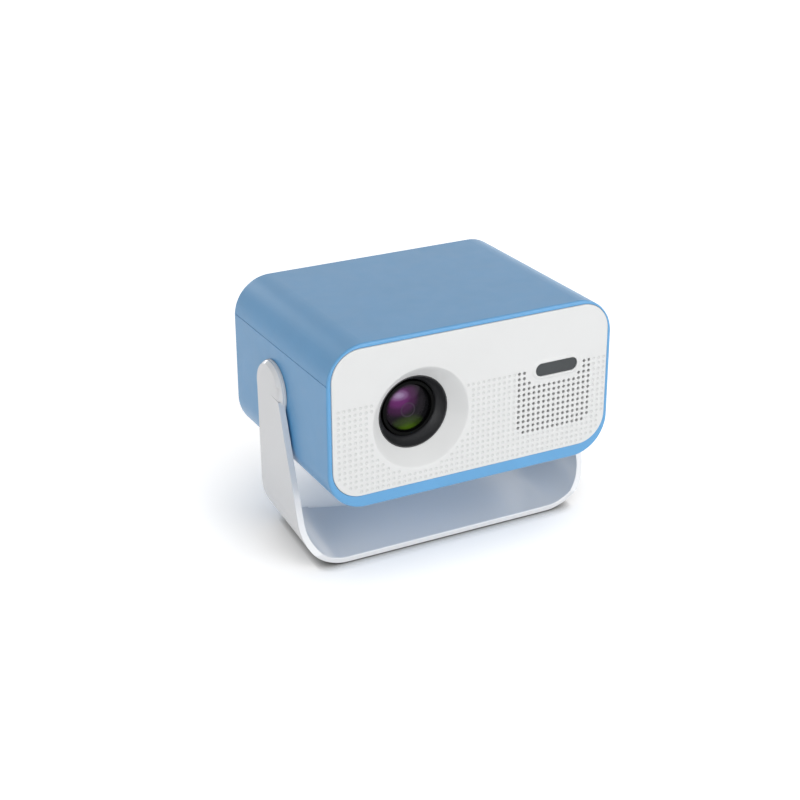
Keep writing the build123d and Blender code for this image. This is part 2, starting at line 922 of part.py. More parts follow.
# Hood: a black funnel between the dish and the lens
hood_y = dish_back_y + dish_wall
hood_radius = dish_hole - hood_gap
throat_y = panel_face_y + throat_depth

with BuildPart() as lens_hood:
    with BuildSketch(lens_plane):
        with BuildLine():
            Polyline(
                (hood_radius - hood_lip, dish_back_y),
                (hood_radius, dish_back_y),
                (hood_radius, hood_y),
                (hood_flange, hood_y),
                (hood_flange, hood_y + hood_flange_thickness),
                (throat_radius + throat_wall + throat_flare, hood_y + hood_flange_thickness),
                (throat_radius + throat_wall, throat_y),
                (throat_radius + throat_wall, throat_y + throat_length),
                (throat_radius, throat_y + throat_length),
                (throat_radius, throat_y),
                close=True,
            )
        make_face()
    revolve(axis=lens_axis)

# Lens tube: flange on the engine's front wall, with a slot for the focus arm
barrel_front = panel_face_y + barrel_from_face
barrel_back = engine_front - barrel_before_engine
tube_front = barrel_front + tube_behind_barrel
arm_y = tube_front + arm_behind_tube_front
flange_y = engine_front - tube_flange_thickness
arm_half_slot = arm_length / 2 + focus_travel + slot_end_gap

with BuildPart() as lens_tube:
    with BuildSketch(across(engine_front)):
        with Locations((lens_x, lens_z)):
            RectangleRounded(
                2 * (tube_radius + tube_flange_side),
                2 * (tube_radius + tube_flange_end),
                tube_flange_corner,
            )
    extrude(amount=tube_flange_thickness)
    with BuildSketch(across(flange_y)):
        with Locations((lens_x, lens_z)):
            Circle(tube_radius)
    extrude(amount=flange_y - tube_front)
    with BuildSketch(across(engine_front)):
        with Locations((lens_x, lens_z)):
            Circle(tube_bore)
    extrude(amount=engine_front - tube_front, mode=Mode.SUBTRACT)
    with BuildSketch(level(lens_z)):
        with Locations((lens_x - tube_bore, arm_y)):
            Rectangle(3 * tube_wall, 2 * arm_half_slot)
    extrude(amount=arm_height / 2 + arm_side_gap, both=True, mode=Mode.SUBTRACT)

barrel_radius = tube_bore - barrel_running_gap
front_lens_seat = barrel_front + front_lens_depth
middle_lens_y = barrel_front + middle_lens_depth
rear_lens_y = barrel_back - rear_lens_depth
arm_start = lens_x - barrel_radius + arm_root
screw_x = lens_x - tube_radius - motor_tube_gap - motor_radius

with BuildPart() as lens_barrel:
    with BuildSketch(lens_plane):
        with BuildLine():
            Polyline(
                (barrel_radius, barrel_front),
                (barrel_radius, barrel_back),
                (rear_lens_radius, barrel_back),
                (rear_lens_radius, rear_lens_y),
                (middle_lens_radius - middle_lens_lip, rear_lens_y),
                (middle_lens_radius - middle_lens_lip, middle_lens_y),
                (middle_lens_radius, middle_lens_y),
                (middle_lens_radius, middle_lens_y - middle_lens_thickness),
                (middle_lens_radius, front_lens_seat),
                (front_lens_radius, front_lens_seat),
                (front_lens_radius, front_lens_seat - front_lens_edge),
                (barrel_radius - barrel_lip, barrel_front),
                close=True,
            )
        make_face()
    revolve(axis=lens_axis)
    # focus arm with its nut
    with BuildSketch(level(lens_z)):
        with Locations(((arm_start + screw_x) / 2, arm_y)):
            Rectangle(arm_start - screw_x, arm_length)
    extrude(amount=arm_height / 2, both=True)
    with BuildSketch(across(arm_y + nut_length / 2)):
        with Locations((screw_x, lens_z)):
            RectangleRounded(nut_block, nut_block, nut_corner)
    extrude(amount=nut_length)
    with BuildSketch(across(arm_y + nut_length / 2)):
        with Locations((screw_x, lens_z)):
            Circle(lead_radius + running_gap)
    extrude(amount=nut_length, mode=Mode.SUBTRACT)

front_lens_y = front_lens_seat - front_lens_edge

with BuildPart() as front_lens:
    with BuildSketch(lens_plane):
        with BuildLine():
            Line((0, front_lens_seat), (front_lens_radius, front_lens_seat))
            Line((front_lens_radius, front_lens_seat), (front_lens_radius, front_lens_y))
            ThreePointArc(
                (front_lens_radius, front_lens_y),
                dome(front_lens_radius, front_lens_y, -front_lens_bulge),
                (0, front_lens_y - front_lens_bulge),
            )
            Line((0, front_lens_y - front_lens_bulge), (0, front_lens_seat))
        make_face()
    revolve(axis=lens_axis)

middle_rim_y = middle_lens_y - middle_lens_thickness

with BuildPart() as middle_lens:
    with BuildSketch(lens_plane):
        with BuildLine():
            Line((0, middle_lens_y), (middle_lens_radius, middle_lens_y))
            Line((middle_lens_radius, middle_lens_y), (middle_lens_radius, middle_rim_y))
            ThreePointArc(
                (middle_lens_radius, middle_rim_y),
                dome(middle_lens_radius, middle_rim_y, middle_lens_hollow),
                (0, middle_rim_y + middle_lens_hollow),
            )
            Line((0, middle_rim_y + middle_lens_hollow), (0, middle_lens_y))
        make_face()
    revolve(axis=lens_axis)

with BuildPart() as rear_lens:
    with BuildSketch(lens_plane):
        with BuildLine():
            Line((0, rear_lens_y), (rear_lens_radius, rear_lens_y))
            Line((rear_lens_radius, rear_lens_y), (rear_lens_radius, rear_lens_y + rear_lens_edge))
            ThreePointArc(
                (rear_lens_radius, rear_lens_y + rear_lens_edge),
                dome(rear_lens_radius, rear_lens_y + rear_lens_edge, rear_lens_bulge),
                (0, rear_lens_y + rear_lens_edge + rear_lens_bulge),
            )
            Line((0, rear_lens_y + rear_lens_edge + rear_lens_bulge), (0, rear_lens_y))
        make_face()
    revolve(axis=lens_axis)

# Focus drive: a small motor turns a lead screw that moves the arm
bracket_left = screw_x - motor_radius
bracket_right = lens_x - tube_radius - bracket_tube_gap
bracket_front = tube_front + bracket_behind_tube_front
bracket_mid = (bracket_left + bracket_right) / 2
bracket_width = bracket_right - bracket_left
motor_y = bracket_front - bracket_thickness

with BuildPart() as focus_bracket:
    with BuildSketch(across(flange_y), across(bracket_front)):
        with Locations((bracket_mid, lens_z)):
            Rectangle(bracket_width, bracket_height)
        with Locations((screw_x, lens_z)):
            Circle(lead_radius + running_gap, mode=Mode.SUBTRACT)
    extrude(amount=bracket_thickness)
    with BuildSketch(beside(bracket_left)):
        with Locations(((flange_y + motor_y) / 2, lens_z)):
            Rectangle(flange_y - motor_y, bracket_height)
    extrude(amount=bracket_thickness)

with BuildPart() as focus_motor:
    with BuildSketch(across(motor_y)):
        with Locations((screw_x, lens_z)):
            Circle(motor_radius)
    extrude(amount=motor_length)
    fillet(focus_motor.edges().group_by(head_y)[0], motor_round)
    with BuildSketch(across(motor_y)):
        with Locations((screw_x, lens_z)):
            Circle(lead_radius + running_gap)
    extrude(amount=motor_bore_depth, mode=Mode.SUBTRACT)

with BuildPart() as focus_screw:
    with BuildSketch(across(flange_y - face_gap)):
        with Locations((screw_x, lens_z)):
            Circle(lead_radius)
    extrude(amount=flange_y - face_gap - motor_y + motor_bore_depth - face_gap)

# Optical engine: a tray with grooves for the plates, closed by a cover
engine_outline = [
    (engine_left, engine_front),
    (engine_step_x, engine_front),
    (engine_step_x, panel_bay_front),
    (panel_bay_right, panel_bay_front),
    (lamp_end, lamp_front),
    (lamp_end, lamp_back),
    (panel_bay_right, panel_bay_back),
    (panel_bay_back - fold, panel_bay_back),
    (engine_left, engine_left + fold),
]
engine_floor = engine_bottom + engine_wall
bay_front = panel_bay_front + engine_wall
bay_back = panel_bay_back - engine_wall
bay_width = bay_back - bay_front
condenser_flange = lamp_half - engine_wall - condenser_gap
condenser_radius = condenser_flange - condenser_rim
condenser_height = condenser_radius * condenser_crown
lamp_hole = condenser_radius - lamp_hole_rim
emitter = 2 * lamp_hole - 2 * emitter_gap
plate_width = bay_width + 2 * (groove_depth - groove_gap)
plates = [
    (fresnel_x, fresnel_thickness),
    (lcd_x, lcd_thickness),
    (polarizer_x, polarizer_thickness),
    (field_lens_x, fresnel_thickness),
]

# power board above the engine, on posts of the cover
power_z = engine_top + cover_thickness + power_post_height
power_left = inlet_x + inlet_width / 2 + power_inlet_gap
power_right = lamp_end - power_edge
power_front = engine_front + power_edge
power_back = panel_bay_back - power_edge
power_mid_x = (power_left + power_right) / 2
power_mid_y = (power_front + power_back) / 2
power_posts = [
    (power_left + power_post, power_front + power_post_inset),
    (power_right - power_post_inset, lamp_front + power_post_inset),
    (power_right - power_post_inset, lamp_back - power_post_inset),
    (power_mid_x, power_back - power_post_inset),
]

with BuildPart() as engine_housing:
    with BuildSketch(level(engine_bottom)):
        with BuildLine():
            Polyline(*engine_outline, close=True)
        make_face()
    extrude(amount=engine_top - engine_bottom)
    with BuildSketch(level(engine_floor)):
        with BuildLine():
            Polyline(*engine_outline, close=True)
        make_face()
        offset(amount=-engine_wall, kind=Kind.INTERSECTION)
    extrude(amount=engine_top - engine_floor, mode=Mode.SUBTRACT)
    for x, thickness in plates:
        with BuildSketch(level(engine_floor, x=x, y=mirror_y)):
            Rectangle(thickness + 2 * groove_gap, bay_width + 2 * groove_depth)
        extrude(amount=engine_top - engine_floor, mode=Mode.SUBTRACT)
    with BuildSketch(across(engine_front)):
        with Locations((lens_x, lens_z)):
            Circle(tube_bore + tube_port_gap)
    extrude(amount=-engine_wall, mode=Mode.SUBTRACT)
    with BuildSketch(beside(lamp_end - engine_wall)):
        with Locations((lamp_y, lens_z)):
            Circle(lamp_hole)
    extrude(amount=engine_wall, mode=Mode.SUBTRACT)
    with BuildSketch(level(engine_bottom, x=lcd_x, y=mirror_y)):
        Rectangle(ribbon_thickness + 2 * ribbon_gap, ribbon_width + 2 * ribbon_gap)
    extrude(amount=engine_wall, mode=Mode.SUBTRACT)

with BuildPart() as engine_cover:
    with BuildSketch(level(engine_top)):
        with BuildLine():
            Polyline(*engine_outline, close=True)
        make_face()
    extrude(amount=cover_thickness)
    with BuildSketch(level(engine_top + cover_thickness)):
        with Locations(*power_posts):
            Circle(power_post)
    extrude(amount=power_post_height)

mirror_plane = Plane(
    origin=head.from_local_coords((lens_x, mirror_y, engine_floor)),
    x_dir=head.x_dir + head.y_dir,
    z_dir=head.z_dir,
)
mirror_height = engine_top - engine_floor - plate_top_gap
mirror_half = mirror_reach * sqrt(2)

with BuildPart() as mirror:
    with BuildSketch(mirror_plane):
        with Locations((0, mirror_thickness / 2)):
            Rectangle(2 * mirror_half, mirror_thickness)
    extrude(amount=mirror_height)

plate_height = mirror_height

with BuildPart() as fresnel_front:
    with BuildSketch(level(engine_floor, x=fresnel_x, y=mirror_y)):
        Rectangle(fresnel_thickness, plate_width)
    extrude(amount=plate_height)

with BuildPart() as lcd_panel:
    with BuildSketch(level(engine_floor, x=lcd_x, y=mirror_y)):
        Rectangle(lcd_thickness, plate_width)
    extrude(amount=plate_height)

with BuildPart() as polarizer_glass:
    with BuildSketch(level(engine_floor, x=polarizer_x, y=mirror_y)):
        Rectangle(polarizer_thickness, plate_width)
    extrude(amount=plate_height)

with BuildPart() as fresnel_rear:
    with BuildSketch(level(engine_floor, x=field_lens_x, y=mirror_y)):
        Rectangle(fresnel_thickness, plate_width)
    extrude(amount=plate_height)

condenser_plane = level(lens_z, x=0, y=lamp_y)
condenser_axis = Axis(condenser_plane.origin, head.x_dir)
condenser_x = lamp_end - engine_wall
condenser_edge_x = condenser_x - condenser_flange_thickness

condenser_dome = dome(condenser_radius, 0, condenser_height)

with BuildPart() as condenser_lens:
    with BuildSketch(condenser_plane):
        with BuildLine():
            Polyline(
                (condenser_edge_x - condenser_height, 0),
                (condenser_x, 0),
                (condenser_x, condenser_flange),
                (condenser_edge_x, condenser_flange),
                (condenser_edge_x, condenser_radius),
            )
            ThreePointArc(
                (condenser_edge_x, condenser_radius),
                (condenser_edge_x - condenser_dome[1], condenser_dome[0]),
                (condenser_edge_x - condenser_height, 0),
            )
        make_face()
    revolve(axis=condenser_axis)

with BuildPart() as lcd_ribbon:
    with BuildSketch(level(board_z + board_thickness, x=lcd_x, y=mirror_y)):
        Rectangle(ribbon_thickness, ribbon_width)
    extrude(amount=engine_floor - board_z - board_thickness)

# Lamp, heat sink and pipes
sink_x = lamp_end + lamp_board_thickness
fin_x = sink_x + sink_base
sink_right = shaft_tip_x - sink_shaft_gap
sink_width = 2 * (lamp_half + sink_overhang)
sink_height = engine_top - engine_bottom - 2 * sink_inset
pipe_in_x = sink_x + sink_base / 2
pipe_out_x = sink_right - pipe_inset
sink_bottom = lens_z - sink_height / 2
sink_top = lens_z + sink_height / 2
pipe_low_z = sink_bottom - pipe_drop - pipe_bend
pipes_y = [lamp_y - pipe_pitch / 2, lamp_y + pipe_pitch / 2]

with BuildPart() as led_board:
    with BuildSketch(beside(lamp_end)):
        with Locations((lamp_y, lens_z)):
            Rectangle(sink_width - 2 * lamp_board_inset, sink_height - 2 * lamp_board_inset)
    extrude(amount=lamp_board_thickness)

with BuildPart() as led_emitter:
    with BuildSketch(beside(lamp_end)):
        with Locations((lamp_y, lens_z)):
            Rectangle(emitter, emitter)
    extrude(amount=-emitter_thickness)

with BuildPart() as heat_sink:
    with BuildSketch(beside(sink_x)):
        with Locations((lamp_y, lens_z)):
            Rectangle(sink_width, sink_height)
    extrude(amount=sink_base)
    fin_pitch = (sink_height - fin_thickness) / (fin_count - 1)
    with BuildSketch(beside(fin_x)):
        with Locations((lamp_y, lens_z)):
            with GridLocations(0, fin_pitch, 1, fin_count):
                Rectangle(sink_width, fin_thickness)
    extrude(amount=sink_right - fin_x)
    with BuildSketch(level(sink_bottom)):
        with Locations(*[(x, y) for x in (pipe_in_x, pipe_out_x) for y in pipes_y]):
            Circle(pipe_radius)
    extrude(amount=sink_height, mode=Mode.SUBTRACT)

with BuildPart() as heat_pipes:
    for pipe_y in pipes_y:
        pipe_side = Plane(
            origin=head.from_local_coords((0, pipe_y, 0)), x_dir=head.x_dir, z_dir=-head.y_dir
        )
        with BuildLine(pipe_side) as pipe_path:
            FilletPolyline(
                (pipe_in_x, sink_top),
                (pipe_in_x, pipe_low_z),
                (pipe_out_x, pipe_low_z),
                (pipe_out_x, sink_top),
                radius=pipe_bend,
            )
        with BuildSketch(level(sink_top, x=pipe_in_x, y=pipe_y)):
            Circle(pipe_radius)
        sweep(path=pipe_path.wires()[0])

# Fan behind the heat sink: frame with its motor base, stator and rotor
fan_base_y = fan_back_y - fan_base
rotor_front_y = fan_front_y + fan_front_gap
rotor_back_y = fan_base_y - fan_tip_gap
strut_start = fan_hub - fan_base_inset - fan_strut_overlap
strut_length = fan_bore + fan_strut_overlap - strut_start
strut_middle = strut_start + strut_length / 2

with BuildPart() as fan_frame:
    with BuildSketch(across(fan_back_y)):
        with Locations((fan_x, fan_z)):
            RectangleRounded(fan_size, fan_size, fan_corner)
            Circle(fan_bore, mode=Mode.SUBTRACT)
            with GridLocations(fan_size - 2 * fan_hole_inset, fan_size - 2 * fan_hole_inset, 2, 2):
                Circle(fan_hole_radius, mode=Mode.SUBTRACT)
    extrude(amount=fan_thickness)
    with BuildSketch(across(fan_back_y)):
        with Locations((fan_x, fan_z)):
            Circle(fan_hub - fan_base_inset)
            with PolarLocations(strut_middle, 4, start_angle=45):
                Rectangle(strut_length, fan_strut_width)
    extrude(amount=fan_base)
    with BuildSketch(across(fan_base_y)):
        with Locations((fan_x, fan_z)):
            Circle(fan_bearing)
    extrude(amount=fan_base_y - rotor_front_y - 2 * fan_cup_wall)
    with BuildSketch(across(fan_base_y)):
        with Locations((fan_x, fan_z)):
            Circle(fan_axle + running_gap)
    extrude(amount=fan_base_y - rotor_front_y, mode=Mode.SUBTRACT)

with BuildPart() as fan_stator:
    with BuildSketch(across(fan_base_y)):
        with Locations((fan_x, fan_z)):
            Circle(stator_radius)
            Circle(fan_bearing, mode=Mode.SUBTRACT)
    extrude(amount=fan_base_y - rotor_front_y - 3 * fan_cup_wall)

blade_root = fan_hub - blade_root_inset
blade_tip = fan_bore - fan_tip_gap
rotor_mid_y = (rotor_front_y + rotor_back_y) / 2
rotor_centre = head.from_local_coords((fan_x, rotor_mid_y, fan_z))

with BuildPart() as fan_blade:
    for radius, pitch in ((blade_root, blade_root_pitch), (blade_tip - blade_tip_inset, blade_tip_pitch)):
        turned = Plane(
            origin=(radius, 0, 0),
            x_dir=(0, cos(radians(pitch)), sin(radians(pitch))),
            z_dir=(1, 0, 0),
        )
        with BuildSketch(turned):
            Rectangle(blade_chord, blade_thickness)
    loft()

with BuildPart(Plane(origin=rotor_centre, x_dir=head.x_dir, z_dir=-head.y_dir)) as fan_rotor:
    with BuildSketch(across(rotor_front_y)):
        with Locations((fan_x, fan_z)):
            Circle(fan_hub)
    extrude(amount=-(rotor_back_y - rotor_front_y))
    with BuildSketch(across(rotor_front_y + fan_cup_wall)):
        with Locations((fan_x, fan_z)):
            Circle(fan_hub - fan_cup_wall)
    extrude(amount=-(rotor_back_y - rotor_front_y), mode=Mode.SUBTRACT)
    with BuildSketch(across(rotor_front_y)):
        with Locations((fan_x, fan_z)):
            Circle(fan_axle)
    extrude(amount=-(rotor_back_y - rotor_front_y))
    with PolarLocations(0, fan_blades):
        add(fan_blade.part)

# Rear panel with the exhaust grille, the ports and the power button
key_board_y = rear_inner_y - key_board_gap - board_thickness
board_top = board_z + board_thickness
port_back_y = rear_face_y + port_proud

with BuildPart() as rear_panel:
    with BuildSketch(across(rear_inner_y)):
        with Locations((0, mid_z)):
            RectangleRounded(
                inner_width - 2 * rear_gap,
                inner_height - 2 * rear_gap,
                inner_corner - rear_gap,
            )
        with Locations((fan_x, fan_z)):
            for row in range(rear_slots):
                z = (row - (rear_slots - 1) / 2) * rear_slot_pitch
                width = 2 * (sqrt(fan_bore**2 - z**2) - rear_slot_margin)
                with Locations((0, z)):
                    SlotOverall(width, rear_slot_height, mode=Mode.SUBTRACT)
        with Locations((hdmi_x, board_top + hdmi_height / 2)):
            Rectangle(hdmi_width + 2 * port_gap, hdmi_height + 2 * port_gap, mode=Mode.SUBTRACT)
        with Locations((usb_x, board_top + usb_height / 2)):
            Rectangle(usb_width + 2 * port_gap, usb_height + 2 * port_gap, mode=Mode.SUBTRACT)
        with Locations((jack_x, board_top + jack_radius)):
            Circle(jack_radius + port_gap, mode=Mode.SUBTRACT)
        with Locations((inlet_x, inlet_z)):
            SlotOverall(inlet_width, inlet_height, mode=Mode.SUBTRACT)
        with Locations((button_x, button_z)):
            Circle(button_radius + button_gap, mode=Mode.SUBTRACT)
    extrude(amount=-rear_plate)
    with BuildSketch(across(rear_inner_y)):
        with Locations((button_x - key_post_x, button_z), (button_x + key_post_x, button_z)):
            Circle(key_post_radius)
    extrude(amount=key_board_gap)

with BuildPart() as power_button:
    with BuildSketch(across(rear_face_y + button_proud)):
        with Locations((button_x, button_z)):
            Circle(button_radius)
    extrude(amount=rear_face_y + button_proud - rear_inner_y + face_gap + button_flange_thickness)
    fillet(power_button.edges().group_by(head_y)[-1], button_round)
    with BuildSketch(across(rear_inner_y - face_gap)):
        with Locations((button_x, button_z)):
            Circle(button_flange)
    extrude(amount=button_flange_thickness)

switch_back_y = rear_inner_y - face_gap - button_flange_thickness - button_travel - face_gap

with BuildPart() as key_board:
    with BuildSketch(across(key_board_y + board_thickness)):
        with Locations((button_x, button_z)):
            Rectangle(key_board_width, key_board_height)
    extrude(amount=board_thickness)
    with BuildSketch(across(key_board_y + board_thickness)):
        with Locations((button_x, button_z)):
            Rectangle(key_switch, key_switch)
    extrude(amount=-(switch_back_y - key_plunger_height - key_board_y - board_thickness))
    with BuildSketch(across(switch_back_y)):
        with Locations((button_x, button_z)):
            Circle(key_plunger)
    extrude(amount=key_plunger_height)

# Main board with its parts, and the ports on its rear edge
with BuildPart() as main_board:
    with BuildSketch(level(board_z)):
        with BuildLine():
            Polyline(
                (board_left, board_front),
                (board_right, board_front),
                (board_right, board_back),
                (board_left, board_back),
                close=True,
            )
        make_face()
    extrude(amount=board_thickness)

processor_x = lcd_x - processor_from_ribbon
processor_y = mirror_y - processor_before_mirror
memory_y = processor_y - (processor + memory_width) / 2 - memory_gap
memory_x = processor_x - (processor + memory_length) / 2 - memory_gap
capacitor_y = processor_y + processor / 2 + memory_gap + capacitor_radius
connector_x = lcd_x - connector_length / 2
connector_y = mirror_y - (ribbon_width + connector_width) / 2 - connector_gap

with BuildPart() as board_chips:
    with BuildSketch(level(board_top)):
        with Locations((processor_x, processor_y)):
            Rectangle(processor, processor)
        with Locations((processor_x, memory_y), (memory_x, processor_y)):
            Rectangle(memory_length, memory_width)
    extrude(amount=chip_thickness)
    with BuildSketch(level(board_top)):
        with Locations((memory_x, capacitor_y), (processor_x, capacitor_y)):
            Circle(capacitor_radius)
    extrude(amount=capacitor_height)
    with BuildSketch(level(board_top)):
        with Locations((connector_x, connector_y)):
            Rectangle(connector_length, connector_width)
    extrude(amount=connector_height)

with BuildPart() as hdmi_port:
    with BuildSketch(across(port_back_y)):
        with BuildLine():
            Polyline(
                (hdmi_x - hdmi_width / 2 + hdmi_slope, board_top),
                (hdmi_x + hdmi_width / 2 - hdmi_slope, board_top),
                (hdmi_x + hdmi_width / 2, board_top + hdmi_slope),
                (hdmi_x + hdmi_width / 2, board_top + hdmi_height),
                (hdmi_x - hdmi_width / 2, board_top + hdmi_height),
                (hdmi_x - hdmi_width / 2, board_top + hdmi_slope),
                close=True,
            )
        make_face()
    extrude(amount=port_depth)
    with BuildSketch(across(port_back_y)):
        with Locations((hdmi_x, board_top + hdmi_height / 2)):
            Rectangle(hdmi_width - 2 * port_wall, hdmi_height - 4 * port_wall)
            Rectangle(hdmi_width - 2 * tongue_margin, hdmi_tongue, mode=Mode.SUBTRACT)
    extrude(amount=port_depth - port_floor, mode=Mode.SUBTRACT)

with BuildPart() as usb_port:
    with BuildSketch(across(port_back_y)):
        with Locations((usb_x, board_top + usb_height / 2)):
            Rectangle(usb_width, usb_height)
    extrude(amount=port_depth)
    with BuildSketch(across(port_back_y)):
        with Locations((usb_x, board_top + usb_height / 2)):
            Rectangle(usb_width - 2 * port_wall, usb_height - 2 * port_wall)
        with Locations((usb_x, board_top + usb_height - 3 * port_wall)):
            Rectangle(usb_width - 2 * tongue_margin, usb_tongue, mode=Mode.SUBTRACT)
    extrude(amount=port_depth - port_floor, mode=Mode.SUBTRACT)

with BuildPart() as audio_jack:
    with BuildSketch(across(rear_inner_y)):
        with Locations((jack_x, board_top + jack_radius)):
            Rectangle(jack_width, 2 * jack_radius)
    extrude(amount=port_depth)
    with BuildSketch(across(port_back_y)):
        with Locations((jack_x, board_top + jack_radius)):
            Circle(jack_radius)
    extrude(amount=port_back_y - rear_inner_y)
    with BuildSketch(across(port_back_y)):
        with Locations((jack_x, board_top + jack_radius)):
            Circle(jack_bore)
    extrude(amount=port_depth - jack_floor, mode=Mode.SUBTRACT)

# Mains inlet, with a figure-eight socket and two pins
inlet_back_y = rear_face_y + inlet_flange_thickness

with BuildPart() as power_inlet:
    with BuildSketch(across(rear_face_y)):
        with Locations((inlet_x, inlet_z)):
            SlotOverall(inlet_width, inlet_height)
    extrude(amount=inlet_depth)
    with BuildSketch(across(inlet_back_y)):
        with Locations((inlet_x, inlet_z)):
            SlotOverall(inlet_width + 2 * inlet_flange, inlet_height + 2 * inlet_flange)
    extrude(amount=inlet_flange_thickness)
    with BuildSketch(across(inlet_back_y)):
        with Locations((inlet_x - inlet_pin_pitch / 2, inlet_z), (inlet_x + inlet_pin_pitch / 2, inlet_z)):
            Circle(inlet_height / 2 - inlet_wall)
        with Locations((inlet_x, inlet_z)):
            Rectangle(inlet_pin_pitch, inlet_height / 2)
        with Locations((inlet_x - inlet_pin_pitch / 2, inlet_z), (inlet_x + inlet_pin_pitch / 2, inlet_z)):
            Circle(inlet_pin_radius, mode=Mode.SUBTRACT)
    extrude(amount=inlet_socket_depth, mode=Mode.SUBTRACT)

# Power board above the engine
with BuildPart() as power_board:
    with BuildSketch(level(power_z)):
        with BuildLine():
            Polyline(
                (power_left, power_front),
                (power_right, power_front),
                (power_right, power_back),
                (power_left, power_back),
                close=True,
            )
        make_face()
    extrude(amount=board_thickness)

power_top = power_z + board_thickness

choke_x = power_left + power_part_inset + filter_choke_length / 2
switch_x = power_right - power_part_inset - switch_sink_length / 2

with BuildPart() as power_parts:
    with BuildSketch(level(power_top)):
        with Locations((power_mid_x, power_mid_y)):
            RectangleRounded(transformer_length, transformer_width, transformer_round)
        with Locations((choke_x, power_mid_y)):
            Rectangle(filter_choke_length, filter_choke_width)
    extrude(amount=transformer_height)
    with BuildSketch(level(power_top)):
        with Locations((choke_x, power_front + power_part_inset + bulk_radius), (switch_x, power_mid_y)):
            Circle(bulk_radius)
        with Locations((switch_x, power_front + power_part_inset + switch_sink_width / 2)):
            Rectangle(switch_sink_length, switch_sink_width)
    extrude(amount=bulk_height)

# Speaker behind the perforations, and the sensor board behind the window
speaker_top = crossbar_z - board_gap
speaker_bottom = frame_bottom + board_gap
speaker_z = (speaker_top + speaker_bottom) / 2
basket_y = frame_seat_y + speaker_plate
basket_back_y = basket_y + speaker_depth

with BuildPart() as speaker_frame:
    with BuildSketch(across(frame_seat_y)):
        with Locations((frame_x, speaker_z)):
            RectangleRounded(
                frame_width - 2 * board_gap,
                speaker_top - speaker_bottom,
                speaker_corner,
            )
    extrude(amount=-speaker_plate)
    with BuildSketch(across(basket_y)):
        with Locations((frame_x, speaker_z)):
            SlotOverall(speaker_length + 2 * speaker_wall, speaker_width + 2 * speaker_wall)
    with BuildSketch(across(basket_back_y)):
        with Locations((frame_x, speaker_z)):
            SlotOverall(2 * (magnet_radius + basket_rim), 2 * magnet_radius - basket_flat)
    loft()
    with BuildSketch(across(frame_seat_y)):
        with Locations((frame_x, speaker_z)):
            SlotOverall(speaker_length, speaker_width)
    extrude(amount=-speaker_plate, mode=Mode.SUBTRACT)
    with BuildSketch(across(basket_y)):
        with Locations((frame_x, speaker_z)):
            SlotOverall(speaker_length, speaker_width)
    with BuildSketch(across(basket_back_y - speaker_wall)):
        with Locations((frame_x, speaker_z)):
            SlotOverall(2 * (magnet_radius - basket_rim), 2 * (magnet_radius - basket_flat))
    loft(mode=Mode.SUBTRACT)

cone_y = frame_seat_y + cone_front

with BuildPart() as speaker_cone:
    with BuildSketch(across(cone_y)):
        with Locations((frame_x, speaker_z)):
            SlotOverall(speaker_length - 2 * cone_gap, speaker_width - 2 * cone_gap)
    with BuildSketch(across(cone_y + cone_depth)):
        with Locations((frame_x, speaker_z)):
            SlotOverall(coil_length, coil_width)
    loft()
    with BuildSketch(across(cone_y)):
        with Locations((frame_x, speaker_z)):
            SlotOverall(
                speaker_length - 2 * (cone_gap + cone_surround),
                speaker_width - 2 * (cone_gap + cone_surround),
            )
    with BuildSketch(across(cone_y + cone_depth - cone_skin)):
        with Locations((frame_x, speaker_z)):
            SlotOverall(coil_length - 2 * cone_skin, coil_width - 2 * cone_skin)
    loft(mode=Mode.SUBTRACT)

with BuildPart() as speaker_magnet:
    with BuildSketch(across(basket_back_y)):
        with Locations((frame_x, speaker_z)):
            Circle(magnet_radius)
    extrude(amount=-magnet_thickness)
    chamfer(speaker_magnet.edges().group_by(head_y)[-1], magnet_edge)

sensor_z = crossbar_z + board_gap + sensor_height / 2

with BuildPart() as sensor_board:
    with BuildSketch(across(frame_seat_y)):
        with Locations((frame_x, sensor_z)):
            Rectangle(frame_width - 2 * board_gap, sensor_height)
    extrude(amount=-board_thickness)
    with BuildSketch(across(frame_seat_y)):
        with Locations((window_x - sensor_from_middle, sensor_z)):
            Rectangle(receiver_width, receiver_height)
        with Locations((window_x + sensor_from_middle, sensor_z)):
            Circle(light_sensor_radius)
    extrude(amount=frame_depth - window_lip_thickness - sensor_gap)

# Dust filter on the floor, over the intake
with BuildPart() as intake_filter:
    with BuildSketch(level(floor_z)):
        with Locations((intake_x, intake_y)):
            Rectangle(filter_width, intake_slot_length + 2 * filter_margin)
    extrude(amount=filter_thickness)

